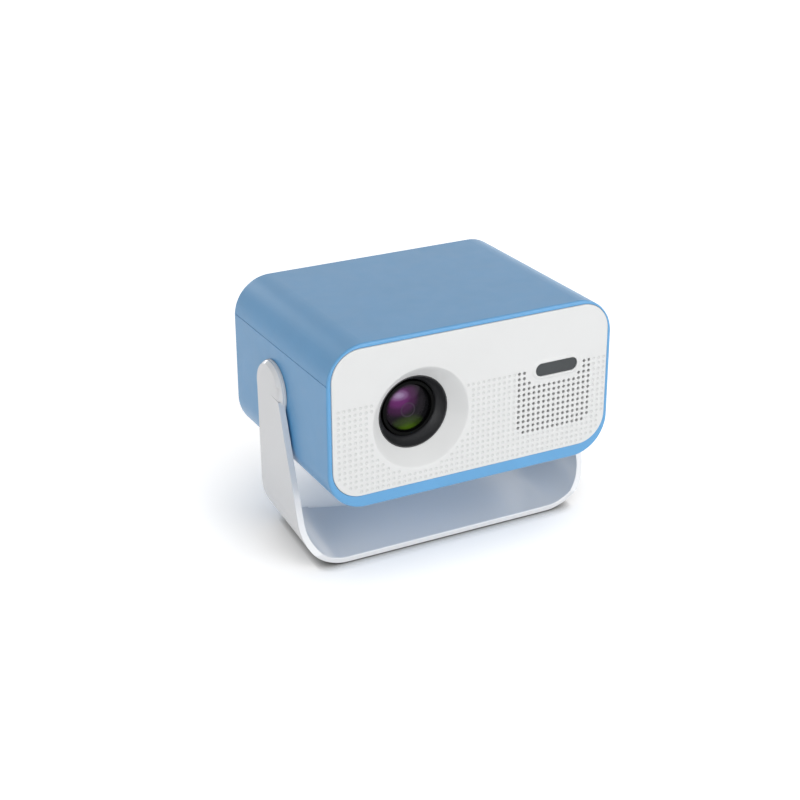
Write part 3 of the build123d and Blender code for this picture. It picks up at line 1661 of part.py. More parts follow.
pieces = {
    "stand_bracket": stand_bracket,
    "base_pads": base_pads,
    "tripod_insert": tripod_insert,
    "hinge_spacers": hinge_spacers,
    "hinge_shafts": hinge_shafts,
    "hinge_springs": hinge_springs,
    "hinge_nuts": hinge_nuts,
    "hinge_bushes": hinge_bushes,
    "lower_shell": lower_shell,
    "upper_shell": upper_shell,
    "shell_screws": shell_screws,
    "front_panel": front_panel,
    "sensor_window": sensor_window,
    "rear_panel": rear_panel,
    "lens_hood": lens_hood,
    "lens_tube": lens_tube,
    "lens_barrel": lens_barrel,
    "front_lens": front_lens,
    "middle_lens": middle_lens,
    "rear_lens": rear_lens,
    "focus_bracket": focus_bracket,
    "focus_motor": focus_motor,
    "focus_screw": focus_screw,
    "engine_housing": engine_housing,
    "engine_cover": engine_cover,
    "mirror": mirror,
    "fresnel_front": fresnel_front,
    "lcd_panel": lcd_panel,
    "polarizer_glass": polarizer_glass,
    "fresnel_rear": fresnel_rear,
    "condenser_lens": condenser_lens,
    "lcd_ribbon": lcd_ribbon,
    "led_board": led_board,
    "led_emitter": led_emitter,
    "heat_sink": heat_sink,
    "heat_pipes": heat_pipes,
    "fan_frame": fan_frame,
    "fan_stator": fan_stator,
    "fan_rotor": fan_rotor,
    "main_board": main_board,
    "board_chips": board_chips,
    "hdmi_port": hdmi_port,
    "usb_port": usb_port,
    "audio_jack": audio_jack,
    "power_inlet": power_inlet,
    "power_board": power_board,
    "power_parts": power_parts,
    "power_button": power_button,
    "key_board": key_board,
    "speaker_frame": speaker_frame,
    "speaker_cone": speaker_cone,
    "speaker_magnet": speaker_magnet,
    "sensor_board": sensor_board,
    "intake_filter": intake_filter,
}

os.makedirs("parts", exist_ok=True)
for label, piece in pieces.items():
    piece.part.label = label
    export_step(piece.part, f"parts/{label}.step")
    print(label, len(piece.solids()), "solid(s)", round(piece.part.volume, 1), "mm3")
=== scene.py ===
import bmesh
import bpy
import numpy as np
from math import cos, pi, radians, sin
from mathutils import Matrix, Vector
from mathutils.geometry import delaunay_2d_cdt


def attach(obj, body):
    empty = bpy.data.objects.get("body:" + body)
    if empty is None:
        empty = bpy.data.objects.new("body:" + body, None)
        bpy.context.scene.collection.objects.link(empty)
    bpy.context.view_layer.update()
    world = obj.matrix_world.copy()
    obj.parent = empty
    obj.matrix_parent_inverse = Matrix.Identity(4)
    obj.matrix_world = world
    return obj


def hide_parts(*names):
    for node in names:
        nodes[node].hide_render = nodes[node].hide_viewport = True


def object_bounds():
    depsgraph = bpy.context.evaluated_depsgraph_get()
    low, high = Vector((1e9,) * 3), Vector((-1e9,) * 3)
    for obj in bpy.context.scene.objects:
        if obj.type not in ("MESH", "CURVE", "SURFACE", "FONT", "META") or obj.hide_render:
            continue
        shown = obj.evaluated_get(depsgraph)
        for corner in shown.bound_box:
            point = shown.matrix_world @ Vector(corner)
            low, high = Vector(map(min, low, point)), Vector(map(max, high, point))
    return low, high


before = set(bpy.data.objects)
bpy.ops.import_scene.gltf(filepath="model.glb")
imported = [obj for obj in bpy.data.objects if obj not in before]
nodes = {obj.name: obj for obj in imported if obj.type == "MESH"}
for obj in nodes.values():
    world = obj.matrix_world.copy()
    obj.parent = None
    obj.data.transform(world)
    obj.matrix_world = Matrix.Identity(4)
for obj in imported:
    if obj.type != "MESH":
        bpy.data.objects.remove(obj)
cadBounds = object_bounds()
print("frame loaded,", len(nodes), "nodes")


# The head sits on its hinge with the nose up; toWorld takes points of the level head, in metres.
headPose = dict(tilt=7.0, hingeY=0.036, hingeZ=0.096)


def toWorld(points):  # turns points about the hinge axis by the tilt, then moves them to the hinge
    points = np.asarray(points, float)
    c, s = cos(radians(headPose["tilt"])), sin(radians(headPose["tilt"]))
    x, y, z = points[..., 0], points[..., 1], points[..., 2]
    return np.stack([x, headPose["hingeY"] + y * c + z * s, headPose["hingeZ"] - y * s + z * c], -1)


def toHead(points):  # the way back
    points = np.asarray(points, float)
    c, s = cos(radians(headPose["tilt"])), sin(radians(headPose["tilt"]))
    x = points[..., 0]
    y, z = points[..., 1] - headPose["hingeY"], points[..., 2] - headPose["hingeZ"]
    return np.stack([x, y * c - z * s, y * s + z * c], -1)


# Camera
cameraSetup = dict(
    place=(-0.44899, -0.74501, 0.58437),
    lookAt=(-0.06600, -0.06530, 0.13569),
    roll=3.5716,
    lens=74.17,
    sensor=36.0,
    clip=(0.02, 20.0),
)


# The camera's axes: back from the aim, level across it, both turned by the roll about the view
def placeCamera(setup):
    data = bpy.data.cameras.new("camera")
    data.lens, data.sensor_width = setup["lens"], setup["sensor"]
    data.clip_start, data.clip_end = setup["clip"]
    camera = bpy.data.objects.new("camera", data)
    bpy.context.scene.collection.objects.link(camera)
    back = (Vector(setup["place"]) - Vector(setup["lookAt"])).normalized()
    level = Vector((0, 0, 1)).cross(back).normalized()
    above = back.cross(level)
    r = radians(setup["roll"])
    right = level * cos(r) + above * sin(r)
    up = back.cross(right)
    turn = Matrix((right, up, back)).transposed().to_4x4()
    camera.matrix_world = Matrix.Translation(setup["place"]) @ turn
    bpy.context.scene.camera = camera


placeCamera(cameraSetup)


# Studio: pale floor, white surroundings for the camera, soft lamps
studio = dict(
    floorSize=2.8,
    floorColour=0.85,
    floorGlow=0.66,
    paintedContactShadow=(0.007, 2.2),  # reach and strength of the painted shadow close under the stand
    under=(0.070, 1.5),  # and of the wider painted shadow under the head
    fill=0.31,
    aim=(0.0, 0.0, 0.08),
    key=dict(place=(0.95, -1.65, 1.15), size=2.2, power=26.5),
    front=dict(place=(-0.35, -2.00, 0.65), size=0.9, power=6.3),
    left=dict(place=(-1.7, -0.8, 0.75), size=1.2, power=8.5),
    right=dict(place=(1.9, 0.75, 0.40), size=1.2, power=7.0),
    rear=dict(place=(-0.10, 2.20, 0.27), size=0.5, power=6.0),
)


def joined(tree, operation, first, second):  # two numbers or sockets through one operation
    node = tree.nodes.new("ShaderNodeMath")
    node.operation = operation
    for value, socket in ((first, node.inputs[0]), (second, node.inputs[1])):
        if isinstance(value, (int, float)):
            socket.default_value = value
        else:
            tree.links.new(value, socket)
    return node.outputs[0]


# Air that is white for the camera and in gloss and glass, and a plain level of light for the rest
def buildWorld(fill):
    world = bpy.data.worlds.new("studioAir")
    bpy.context.scene.world = world
    world.use_nodes = True
    tree = world.node_tree
    tree.nodes.clear()
    out = tree.nodes.new("ShaderNodeOutputWorld")
    path = tree.nodes.new("ShaderNodeLightPath")
    air = tree.nodes.new("ShaderNodeBackground")
    air.inputs["Color"].default_value = (1, 1, 1, 1)
    seen = joined(tree, "MAXIMUM", path.outputs["Is Camera Ray"], path.outputs["Is Glossy Ray"])
    seen = joined(tree, "MAXIMUM", seen, path.outputs["Is Transmission Ray"])
    tree.links.new(joined(tree, "MAXIMUM", seen, fill), air.inputs["Strength"])
    tree.links.new(air.outputs[0], out.inputs["Surface"])


# A square sheet of paper under the object. It glows to white for the camera, times the openness of
# each place to the power of each strength: painted shadow, darker close under the object, besides
# the lamps' own
def buildFloor(size, colour, glow, closeness):
    mesh = bpy.data.meshes.new("floor")
    h = size / 2
    z = cadBounds[0][2]
    mesh.from_pydata([(-h, -h, z), (h, -h, z), (h, h, z), (-h, h, z)], [], [(0, 1, 2, 3)])
    floor = bpy.data.objects.new("floor", mesh)
    bpy.context.scene.collection.objects.link(floor)
    mat = bpy.data.materials.new("floorPaper")
    mat.use_nodes = True
    tree = mat.node_tree
    tree.nodes.clear()
    out = tree.nodes.new("ShaderNodeOutputMaterial")
    paper = tree.nodes.new("ShaderNodeBsdfDiffuse")
    glowing = tree.nodes.new("ShaderNodeEmission")
    path = tree.nodes.new("ShaderNodeLightPath")
    seen = joined(tree, "MAXIMUM", path.outputs["Is Camera Ray"], path.outputs["Is Glossy Ray"])
    level = joined(tree, "MULTIPLY", seen, glow)
    for reach, strength in closeness:
        near = tree.nodes.new("ShaderNodeAmbientOcclusion")
        near.samples = 8
        near.inputs["Distance"].default_value = reach
        level = joined(tree, "MULTIPLY", level, joined(tree, "POWER", near.outputs["AO"], strength))
        if reach == min(closeness)[0]:  # the narrow painted shadow darkens the paper's colour too
            near.inputs["Color"].default_value = (colour, colour, colour, 1)
            tree.links.new(near.outputs["Color"], paper.inputs["Color"])
    both = tree.nodes.new("ShaderNodeAddShader")
    tree.links.new(level, glowing.inputs["Strength"])
    tree.links.new(paper.outputs[0], both.inputs[0])
    tree.links.new(glowing.outputs[0], both.inputs[1])
    tree.links.new(both.outputs[0], out.inputs["Surface"])
    mesh.materials.append(mat)


def addLamp(name, aim, place, size, power):  # a disc that faces the aim
    data = bpy.data.lights.new(name, "AREA")
    data.shape, data.size, data.energy = "DISK", size, power
    lamp = bpy.data.objects.new(name, data)
    bpy.context.scene.collection.objects.link(lamp)
    turn = (Vector(aim) - Vector(place)).to_track_quat("-Z", "Y").to_matrix().to_4x4()
    lamp.matrix_world = Matrix.Translation(place) @ turn


buildWorld(studio["fill"])
closeness = (studio["paintedContactShadow"], studio["under"])
buildFloor(studio["floorSize"], studio["floorColour"], studio["floorGlow"], closeness)
for lampName in ("key", "front", "left", "right", "rear"):
    addLamp(lampName, studio["aim"], **studio[lampName])
bpy.context.scene.view_settings.view_transform = "Standard"
print("camera and studio ready")


# Finishes
def linear(colour):  # display colour of 0 to 255 to linear light
    c = np.array(colour, float) / 255
    return tuple(np.where(c <= 0.04045, c / 12.92, ((c + 0.055) / 1.055) ** 2.4))


def shade(colour, factor):  # linear light times a factor, no channel above 1
    return tuple(min(1.0, v * factor) for v in linear(colour)) + (1.0,)


def ramp(tree, source, low, high, start=0.35, end=0.65):  # from one colour to another, start to end
    node = tree.nodes.new("ShaderNodeValToRGB")
    first, last = node.color_ramp.elements
    first.position, last.position = start, end
    first.color, last.color = low, high
    tree.links.new(source, node.inputs["Fac"])
    return node.outputs["Color"]


def laidOver(tree, under, over, factor):  # colour over colour; under is a colour or a socket
    mix = tree.nodes.new("ShaderNodeMix")
    mix.data_type = "RGBA"
    tree.links.new(factor, mix.inputs[0])
    if isinstance(under, tuple):
        mix.inputs[6].default_value = under
    else:
        tree.links.new(under, mix.inputs[6])
    mix.inputs[7].default_value = over
    return mix.outputs[2]


def noise(tree, coords, size, detail=2.0, roughness=0.5):  # size of a patch in millimetres
    node = tree.nodes.new("ShaderNodeTexNoise")
    node.inputs["Scale"].default_value = 1000.0 / size
    node.inputs["Detail"].default_value = detail
    node.inputs["Roughness"].default_value = roughness
    tree.links.new(coords, node.inputs["Vector"])
    return node.outputs["Fac"]


def span(tree, source, low, high, start=0.3, end=0.7):  # from one value to another, start to end
    node = tree.nodes.new("ShaderNodeMapRange")
    node.inputs["From Min"].default_value, node.inputs["From Max"].default_value = start, end
    node.inputs["To Min"].default_value, node.inputs["To Max"].default_value = low, high
    tree.links.new(source, node.inputs["Value"])
    return node.outputs["Result"]


def newFinish(name):  # a material with its tree, its shader and the piece's own coordinates
    mat = bpy.data.materials.new(name)
    mat.use_nodes = True
    tree = mat.node_tree
    coords = tree.nodes.new("ShaderNodeTexCoord").outputs["Object"]
    return mat, tree, tree.nodes["Principled BSDF"], coords


# What a finish has where it doesn't say otherwise: sizes of patches and grain in millimetres
plainLook = dict(
    patch=25.0, tint=0.03, smudge=9.0, grain=0.35, depth=0.01, bump=0.4,
    metal=0.0, coat=0.0, coatRough=0.2, shine=0.5, sheen=0.0,
    # hollow: colour factor of the painted shade in hollows; edge: strength of the painted highlight
    # on edges
    hollow=None, round=None, edge=None, edgeSpan=(0.72, 0.94),
)
plainMetal = dict(
    stretch=(0.08, 1.0, 1.0), grain=0.2, shades=(0.88, 1.08), rough=(0.29, 0.44),
    bump=0.25, depth=0.01,
)
plainGlass = dict(
    clear=1.0, ior=1.5, coatingAndPaintedReflections=(255, 255, 255), coat=0.0, coatRough=0.03,
    smudge=6.0, dust=(0.01, 0.04),
)


# Moulded, painted or cast surface: colour and gloss in patches, a fine grain in relief, soft edges,
# a painted highlight on the edges and painted shade in hollows where the look asks for them
def grained(name, own):
    look = {**plainLook, **own}
    mat, tree, shader, coords = newFinish(name)
    patches = noise(tree, coords, look["patch"], 3.0)
    darker, paler = (shade(look["colour"], 1 + part) for part in (-look["tint"], look["tint"]))
    colour = ramp(tree, patches, darker, paler)
    if look["hollow"]:  # painted shade, darker where the piece's own attribute says hollow
        hollow = tree.nodes.new("ShaderNodeAttribute")
        hollow.attribute_name = "hollow"
        deep = shade(look["colour"], look["hollow"])
        colour = laidOver(tree, colour, deep, hollow.outputs["Fac"])
    bump = tree.nodes.new("ShaderNodeBump")
    if look["round"]:  # edges shade as if rounded, and get a paler painted highlight there
        bevel = tree.nodes.new("ShaderNodeBevel")
        bevel.samples = 6
        bevel.inputs["Radius"].default_value = look["round"] / 1000
        tree.links.new(bevel.outputs["Normal"], bump.inputs["Normal"])
        if look["edge"]:
            flat = tree.nodes.new("ShaderNodeNewGeometry")
            dot = tree.nodes.new("ShaderNodeVectorMath")
            dot.operation = "DOT_PRODUCT"
            tree.links.new(bevel.outputs["Normal"], dot.inputs[0])
            tree.links.new(flat.outputs["Normal"], dot.inputs[1])
            paintedHighlight = span(tree, dot.outputs["Value"], look["edge"], 0.0, *look["edgeSpan"])
            colour = laidOver(tree, colour, shade(look["edgeHighlightColour"], 1.0), paintedHighlight)
    tree.links.new(colour, shader.inputs["Base Color"])
    smudges = noise(tree, coords, look["smudge"], 4.0)
    tree.links.new(span(tree, smudges, *look["rough"]), shader.inputs["Roughness"])
    bump.inputs["Strength"].default_value = look["bump"]
    bump.inputs["Distance"].default_value = look["depth"] / 1000
    tree.links.new(noise(tree, coords, look["grain"], 2.0), bump.inputs["Height"])
    tree.links.new(bump.outputs["Normal"], shader.inputs["Normal"])
    shader.inputs["Metallic"].default_value = look["metal"]
    shader.inputs["Coat Weight"].default_value = look["coat"]
    shader.inputs["Coat Roughness"].default_value = look["coatRough"]
    shader.inputs["Specular IOR Level"].default_value = look["shine"]
    shader.inputs["Sheen Weight"].default_value = look["sheen"]
    return mat


def brushed(name, own):  # drawn or turned metal: the grain is stretched along one axis
    look = {**plainMetal, **own}
    mat, tree, shader, coords = newFinish(name)
    stretch = tree.nodes.new("ShaderNodeMapping")
    stretch.inputs["Scale"].default_value = look["stretch"]
    tree.links.new(coords, stretch.inputs["Vector"])
    lines = noise(tree, stretch.outputs["Vector"], look["grain"], 3.0)
    dark, pale = (shade(look["colour"], factor) for factor in look["shades"])
    tree.links.new(ramp(tree, lines, dark, pale), shader.inputs["Base Color"])
    tree.links.new(span(tree, lines, *look["rough"]), shader.inputs["Roughness"])
    bump = tree.nodes.new("ShaderNodeBump")
    bump.inputs["Strength"].default_value = look["bump"]
    bump.inputs["Distance"].default_value = look["depth"] / 1000
    tree.links.new(lines, bump.inputs["Height"])
    tree.links.new(bump.outputs["Normal"], shader.inputs["Normal"])
    shader.inputs["Metallic"].default_value = 1.0
    return mat


def clearGlass(name, own):  # coated lens or plate: tinted reflection, faint dust in the gloss
    look = {**plainGlass, **own}
    mat, tree, shader, coords = newFinish(name)
    shader.inputs["Base Color"].default_value = shade(look["colour"], 1.0)
    shader.inputs["Transmission Weight"].default_value = look["clear"]
    shader.inputs["IOR"].default_value = look["ior"]
    shader.inputs["Specular Tint"].default_value = shade(look["coatingAndPaintedReflections"], 1.0)
    shader.inputs["Coat Weight"].default_value = look["coat"]
    shader.inputs["Coat Roughness"].default_value = look["coatRough"]
    dust = span(tree, noise(tree, coords, look["smudge"], 4.0), *look["dust"])
    tree.links.new(dust, shader.inputs["Roughness"])
    return mat


looks = dict(
    standWhite=dict(colour=(230, 231, 233), rough=(0.29, 0.32), coat=0.6, coatRough=0.16,
                    tint=0.004, grain=2.4, depth=0.002, bump=0.15),
    padRubber=dict(colour=(46, 46, 48), rough=(0.70, 0.85), grain=0.3, depth=0.03),
    spacerWhite=dict(colour=(214, 216, 218), rough=(0.45, 0.55), grain=0.3, depth=0.01),
    bushNatural=dict(colour=(228, 225, 214), rough=(0.35, 0.45), grain=0.4),
    # edge: a paler painted highlight along the rounded edges
    shellBlue=dict(colour=(96, 163, 214), rough=(0.34, 0.40), coat=0.2, coatRough=0.22, tint=0.018,
                   grain=0.22, depth=0.004, round=0.35, edge=0.3, edgeHighlightColour=(170, 214, 246)),
    # hollow: painted shade inside the dimples
    panelWhite=dict(colour=(225, 226, 226), rough=(0.46, 0.54), tint=0.006, grain=0.28, depth=0.005,
                    hollow=0.87),
    rearWhite=dict(colour=(222, 224, 226), rough=(0.48, 0.58), tint=0.012, grain=0.28, depth=0.012,
                   round=0.3),
    windowSmoke=dict(colour=(45, 51, 54), rough=(0.12, 0.18), coat=0.1, coatRough=0.05, tint=0.05,
                     grain=2.0, depth=0.002, round=0.25),
    hoodBlack=dict(colour=(27, 28, 31), rough=(0.40, 0.50), tint=0.08, grain=0.25, depth=0.010),
    barrelBlack=dict(colour=(8, 9, 9), rough=(0.46, 0.56), tint=0.08, grain=0.25, depth=0.01,
                     shine=0.05),
    engineBlack=dict(colour=(44, 44, 47), rough=(0.55, 0.7), tint=0.06, grain=0.35, depth=0.02),
    boardGreen=dict(colour=(22, 92, 56), rough=(0.28, 0.4), tint=0.14, patch=4.0, grain=0.6,
                    depth=0.02, coat=0.3),
    boardWhite=dict(colour=(226, 226, 220), rough=(0.4, 0.5), tint=0.04, grain=0.5, depth=0.01),
    chipBlack=dict(colour=(40, 40, 43), rough=(0.5, 0.62), tint=0.08, grain=0.2, depth=0.015),
    jackBlack=dict(colour=(33, 33, 35), rough=(0.4, 0.5), tint=0.06, grain=0.25, depth=0.01,
                   round=0.3),
    fanBlack=dict(colour=(36, 36, 38), rough=(0.45, 0.58), tint=0.06, grain=0.3, depth=0.01,
                  round=0.4),
    emitterYellow=dict(colour=(236, 206, 92), rough=(0.25, 0.35), tint=0.05, grain=0.3),
    ribbonAmber=dict(colour=(202, 128, 44), rough=(0.3, 0.4), tint=0.08, patch=3.0),
    conePaper=dict(colour=(46, 46, 49), rough=(0.75, 0.9), tint=0.1, grain=0.5, depth=0.05,
                   sheen=0.3),
    filterFoam=dict(colour=(60, 60, 62), rough=(0.9, 1.0), tint=0.25, patch=1.2, grain=0.9,
                    depth=0.6, bump=1.0),
    magnetSteel=dict(colour=(120, 121, 124), rough=(0.3, 0.4), metal=0.9, tint=0.06, grain=0.4),
    buttonWhite=dict(colour=(226, 228, 230), rough=(0.3, 0.4), tint=0.01, grain=0.28, round=0.3),
)
metals = dict(
    hingeSteel=dict(colour=(176, 178, 182)),
    screwSteel=dict(colour=(150, 152, 156), rough=(0.3, 0.5)),
    insertBrass=dict(colour=(204, 170, 100)),
    sinkAluminium=dict(colour=(196, 198, 202), stretch=(1.0, 0.08, 1.0), rough=(0.35, 0.5)),
    pipeCopper=dict(colour=(204, 126, 84), stretch=(1.0, 1.0, 0.1)),
    statorCopper=dict(colour=(176, 100, 58), stretch=(1.0, 0.2, 1.0)),
    portMetal=dict(colour=(186, 188, 190)),
)
glasses = dict(
    lensGlass=dict(colour=(222, 226, 222), coatingAndPaintedReflections=(150, 210, 96), ior=1.62),
    mirrorGlass=dict(colour=(215, 218, 222), clear=0.0, coat=1.0),
    opticClear=dict(colour=(236, 242, 244), ior=1.49),
    panelDark=dict(colour=(30, 34, 44), clear=0.3, coat=0.6),
)
finishes = {}
for build, family in ((grained, looks), (brushed, metals), (clearGlass, glasses)):
    finishes.update({finishName: build(finishName, look) for finishName, look in family.items()})


# The nodes that have each finish
nodesOf = dict(
    standWhite=["stand_bracket"],
    padRubber=["base_pads"],
    insertBrass=["tripod_insert"],
    spacerWhite=["hinge_spacers"],
    bushNatural=["hinge_bushes"],
    hingeSteel=[
        "hinge_shafts", "hinge_springs", "hinge_nuts",
        "focus_bracket", "focus_motor", "focus_screw",
    ],
    shellBlue=["lower_shell", "upper_shell"],
    screwSteel=["shell_screws"],
    panelWhite=["front_panel"],
    windowSmoke=["sensor_window"],
    rearWhite=["rear_panel"],
    buttonWhite=["power_button"],
    hoodBlack=["lens_hood"],
    barrelBlack=["lens_tube", "lens_barrel"],
    lensGlass=["front_lens", "middle_lens", "rear_lens"],
    engineBlack=["engine_housing", "engine_cover", "speaker_frame"],
    mirrorGlass=["mirror"],
    opticClear=["fresnel_front", "fresnel_rear", "condenser_lens"],
    panelDark=["lcd_panel", "polarizer_glass"],
    ribbonAmber=["lcd_ribbon"],
    boardWhite=["led_board"],
    emitterYellow=["led_emitter"],
    sinkAluminium=["heat_sink"],
    pipeCopper=["heat_pipes"],
    fanBlack=["fan_frame", "fan_rotor"],
    statorCopper=["fan_stator"],
    boardGreen=["main_board", "power_board", "key_board", "sensor_board"],
    chipBlack=["board_chips", "power_parts"],
    portMetal=["hdmi_port", "usb_port"],
    jackBlack=["audio_jack", "power_inlet"],
    conePaper=["speaker_cone"],
    magnetSteel=["speaker_magnet"],
    filterFoam=["intake_filter"],
)
for finishName, nodeNames in nodesOf.items():
    for nodeName in nodeNames:
        for slot in nodes[nodeName].material_slots:
            slot.material = finishes[finishName]
print("finishes on", sum(len(names) for names in nodesOf.values()), "nodes")


# Surfaces
# A mesh of points in world metres, shaded smooth but for edges sharper than the angle
def makePiece(name, points, faces, finish, body, sharp=30.0):
    mesh = bpy.data.meshes.new(name)
    mesh.from_pydata(points, [], faces)
    mesh.polygons.foreach_set("use_smooth", np.ones(len(mesh.polygons), bool))
    mesh.set_sharp_from_angle(angle=radians(sharp))
    mesh.materials.append(finish)
    piece = bpy.data.objects.new(name, mesh)
    bpy.context.scene.collection.objects.link(piece)
    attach(piece, body)
    return piece


microns = 1e6  # in a metre: whole ones tell two places apart


# A node's triangles with one point for each place, and the triangles' corners
def mergedNode(name):
    mesh = nodes[name].data
    points = np.empty(len(mesh.vertices) * 3)
    mesh.vertices.foreach_get("co", points)
    points = points.reshape(-1, 3)
    corners = np.empty(len(mesh.loops), int)
    mesh.loops.foreach_get("vertex_index", corners)
    places = np.round(points * microns).astype(np.int64)
    _, first, same = np.unique(places, axis=0, return_index=True, return_inverse=True)
    return points[first], same.reshape(-1)[corners].reshape(-1, 3)


# Quads between closed rows of point numbers: each point, the next one, and the two below them
def quads(upper, lower):
    corners = [upper, np.roll(upper, -1, -1), np.roll(lower, -1, -1), lower]
    return np.stack(corners, -1).reshape(-1, 4)


# A profile of radius and depth goes round the axis: x = r cos a, z = r sin a, at its depth
def turned(name, profile, centre, around, finish, body, sharp=30.0):
    profile = np.asarray(profile, float)
    angle = np.arange(around) * 2 * pi / around
    r, y = profile[:, :1], profile[:, 1:]
    x, z = centre[0] + r * np.cos(angle), centre[1] + r * np.sin(angle)
    grid = np.stack([x, y + 0 * angle, z], -1).reshape(-1, 3)
    rows = np.arange(len(grid)).reshape(len(profile), around)
    faces = quads(rows[:-1], rows[1:])
    piece = makePiece(name, toWorld(grid), faces, finish, body, sharp)
    work = bmesh.new()
    work.from_mesh(piece.data)
    bmesh.ops.remove_doubles(work, verts=work.verts, dist=1e-7)
    bmesh.ops.dissolve_degenerate(work, edges=work.edges, dist=1e-7)
    bmesh.ops.recalc_face_normals(work, faces=work.faces)
    work.to_mesh(piece.data)
    work.free()
    piece.data.set_sharp_from_angle(angle=radians(sharp))
    return piece


# Stand: the bent plate again, with its edges rounded over
standPlate = dict(edge=0.0006, segments=3, sharpest=35.0, flat=1.0, weight=90)


# Triangles that lie flat together become one face, and then every edge past the angle is rounded
def softStand(d):
    points, faces = mergedNode("stand_bracket")
    finish, sharpest = finishes["standWhite"], d["sharpest"]
    plate = makePiece("bent_stand", points, faces, finish, "stand", sharpest)
    flat = radians(d["flat"])
    work = bmesh.new()
    work.from_mesh(plate.data)
    bmesh.ops.dissolve_limit(work, angle_limit=flat, verts=work.verts, edges=work.edges)
    work.to_mesh(plate.data)
    work.free()
    bevel = plate.modifiers.new("softEdges", "BEVEL")
    bevel.width, bevel.segments = d["edge"], d["segments"]
    bevel.limit_method, bevel.angle_limit = "ANGLE", radians(sharpest)
    even = plate.modifiers.new("evenShading", "WEIGHTED_NORMAL")  # wide flats rule the shading
    even.mode, even.weight, even.keep_sharp = "FACE_AREA", d["weight"], True
    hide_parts("stand_bracket")
    print("stand plate with soft edges,", len(plate.data.polygons), "faces before them")


softStand(standPlate)


# Front panel: the flat face is laid again round its openings, with rows of shallow moulded dimples
dimples = dict(
    face=-0.0736,
    left=-0.0885,
    top=0.0112,
    pitch=0.0035,
    columns=52,
    rows=16,
    radius=0.00118,
    depth=0.00045,
    around=12,
    rings=(0.86, 0.62, 0.32),
    edgeClear=0.0005,  # rim of a dimple to the edge of the flat
    windowClear=0.0090,  # none nearer than this to the middle line of the window
    inside=0.96,  # share of the radius within which a triangle is a dimple's own
    faceWithin=3e-6,  # depths nearer than this to the face's are on it
    meet=1e-6,  # points nearer than this are one, in millimetres
)


# Grid places whose circle stays inside the outline and clear of every opening of the flat face
def dimpleCentres(d, r, loops):
    x = d["left"] + d["pitch"] * np.arange(d["columns"])
    z = d["top"] - d["pitch"] * np.arange(d["rows"])
    grid = np.stack(np.meshgrid(x, z), -1).reshape(-1, 2)
    start, end = loops[:, 0], loops[:, 1]
    run = end - start
    along = ((grid[:, None] - start) * run).sum(-1) / (run ** 2).sum(-1)
    foot = start + np.clip(along, 0, 1)[..., None] * run
    gap = np.linalg.norm(grid[:, None] - foot, axis=-1).min(1)
    at = grid - r["middle"]
    at[:, 0] -= np.clip(at[:, 0], -r["halfRun"], r["halfRun"])
    clear = (gap > d["radius"] + d["edgeClear"]) & (np.linalg.norm(at, axis=1) > d["windowClear"])
    return grid[insideLoops(grid, loops) & clear]


# A point is in the face where a line to the right of it crosses the loops an odd number of times
def insideLoops(points, loops):
    (x0, z0), (x1, z1) = loops[:, 0].T, loops[:, 1].T
    px, pz = points[:, :1], points[:, 1:]
    spans = (z0 > pz) != (z1 > pz)
    with np.errstate(divide="ignore", invalid="ignore"):
        crossing = x0 + (pz - z0) * (x1 - x0) / (z1 - z0)
    return (spans & (px < crossing)).sum(1) % 2 == 1


ringMound = dict(
    middle=(0.0560, 0.0113),
    halfRun=0.0104,  # straight half of the window's slot
    outer=0.0067,
    inner=0.0041,
    proud=0.0007,
    slope=0.62,  # share of the ring's width that rises
    rows=9,
    level=1e-5,  # heights nearer than this are one height
    facing=0.3,  # a normal with more of the depth axis than this belongs to the slope
    upright=0.1,  # and with less, to a wall
    outlineWithin=1e-4,  # and distances nearer than this to the outer one are on the outline
)


# The ring swells from the face: height = proud times 3t^2 - 2t^3 over the sloping share of its
# width. Rows run from its outline to the top of the window's wall
def ringRows(r, d, local, faces):
    a, b, c = (local[faces[:, i]] for i in range(3))
    normal = np.cross(b - a, c - a)
    normal /= np.linalg.norm(normal, axis=1)[:, None] + 1e-15
    raised = (local[:, 1] < d["face"] - r["level"])[faces].any(1)
    slope = raised & (np.abs(normal[:, 1]) > r["facing"])
    wall = ~slope & (np.abs(normal[:, 1]) < r["upright"])
    wallTop = np.intersect1d(faces[slope], faces[wall])
    wallTop = wallTop[local[wallTop, 1] < d["face"] - r["proud"] + r["level"]]
    at = local[wallTop][:, [0, 2]] - r["middle"]
    order = np.argsort(np.arctan2(at[:, 1], at[:, 0]))
    wallTop, at = wallTop[order], at[order]
    foot = np.stack([np.clip(at[:, 0], -r["halfRun"], r["halfRun"]), 0 * at[:, 1]], -1)
    out = (at - foot) / np.linalg.norm(at - foot, axis=1)[:, None]
    t = np.linspace(0, 1, r["rows"])[:-1, None]
    rise = np.clip(t / r["slope"], 0, 1)
    height = r["proud"] * (3 * rise ** 2 - 2 * rise ** 3)
    reach = (r["outer"] + (r["inner"] - r["outer"]) * t)[..., None]
    across = r["middle"] + foot + reach * out
    rows = np.stack([across[..., 0], d["face"] - height + 0 * across[..., 0], across[..., 1]], -1)
    return slope, wallTop, rows


# Sides that only one of the flat triangles uses, with the old ring's outline swapped for the new
def flatBorder(laid, local, r, newOutline):
    sides = np.sort(np.concatenate([laid[:, [0, 1]], laid[:, [1, 2]], laid[:, [2, 0]]]), 1)
    sides, uses = np.unique(sides, axis=0, return_counts=True)
    border = sides[uses == 1]
    at = local[border][:, :, [0, 2]] - r["middle"]
    at[..., 0] -= np.clip(at[..., 0], -r["halfRun"], r["halfRun"])
    onRing = (np.abs(np.linalg.norm(at, axis=-1) - r["outer"]) < r["outlineWithin"]).all(1)
    return np.concatenate([border[~onRing], np.stack([newOutline, np.roll(newOutline, -1)], -1)])


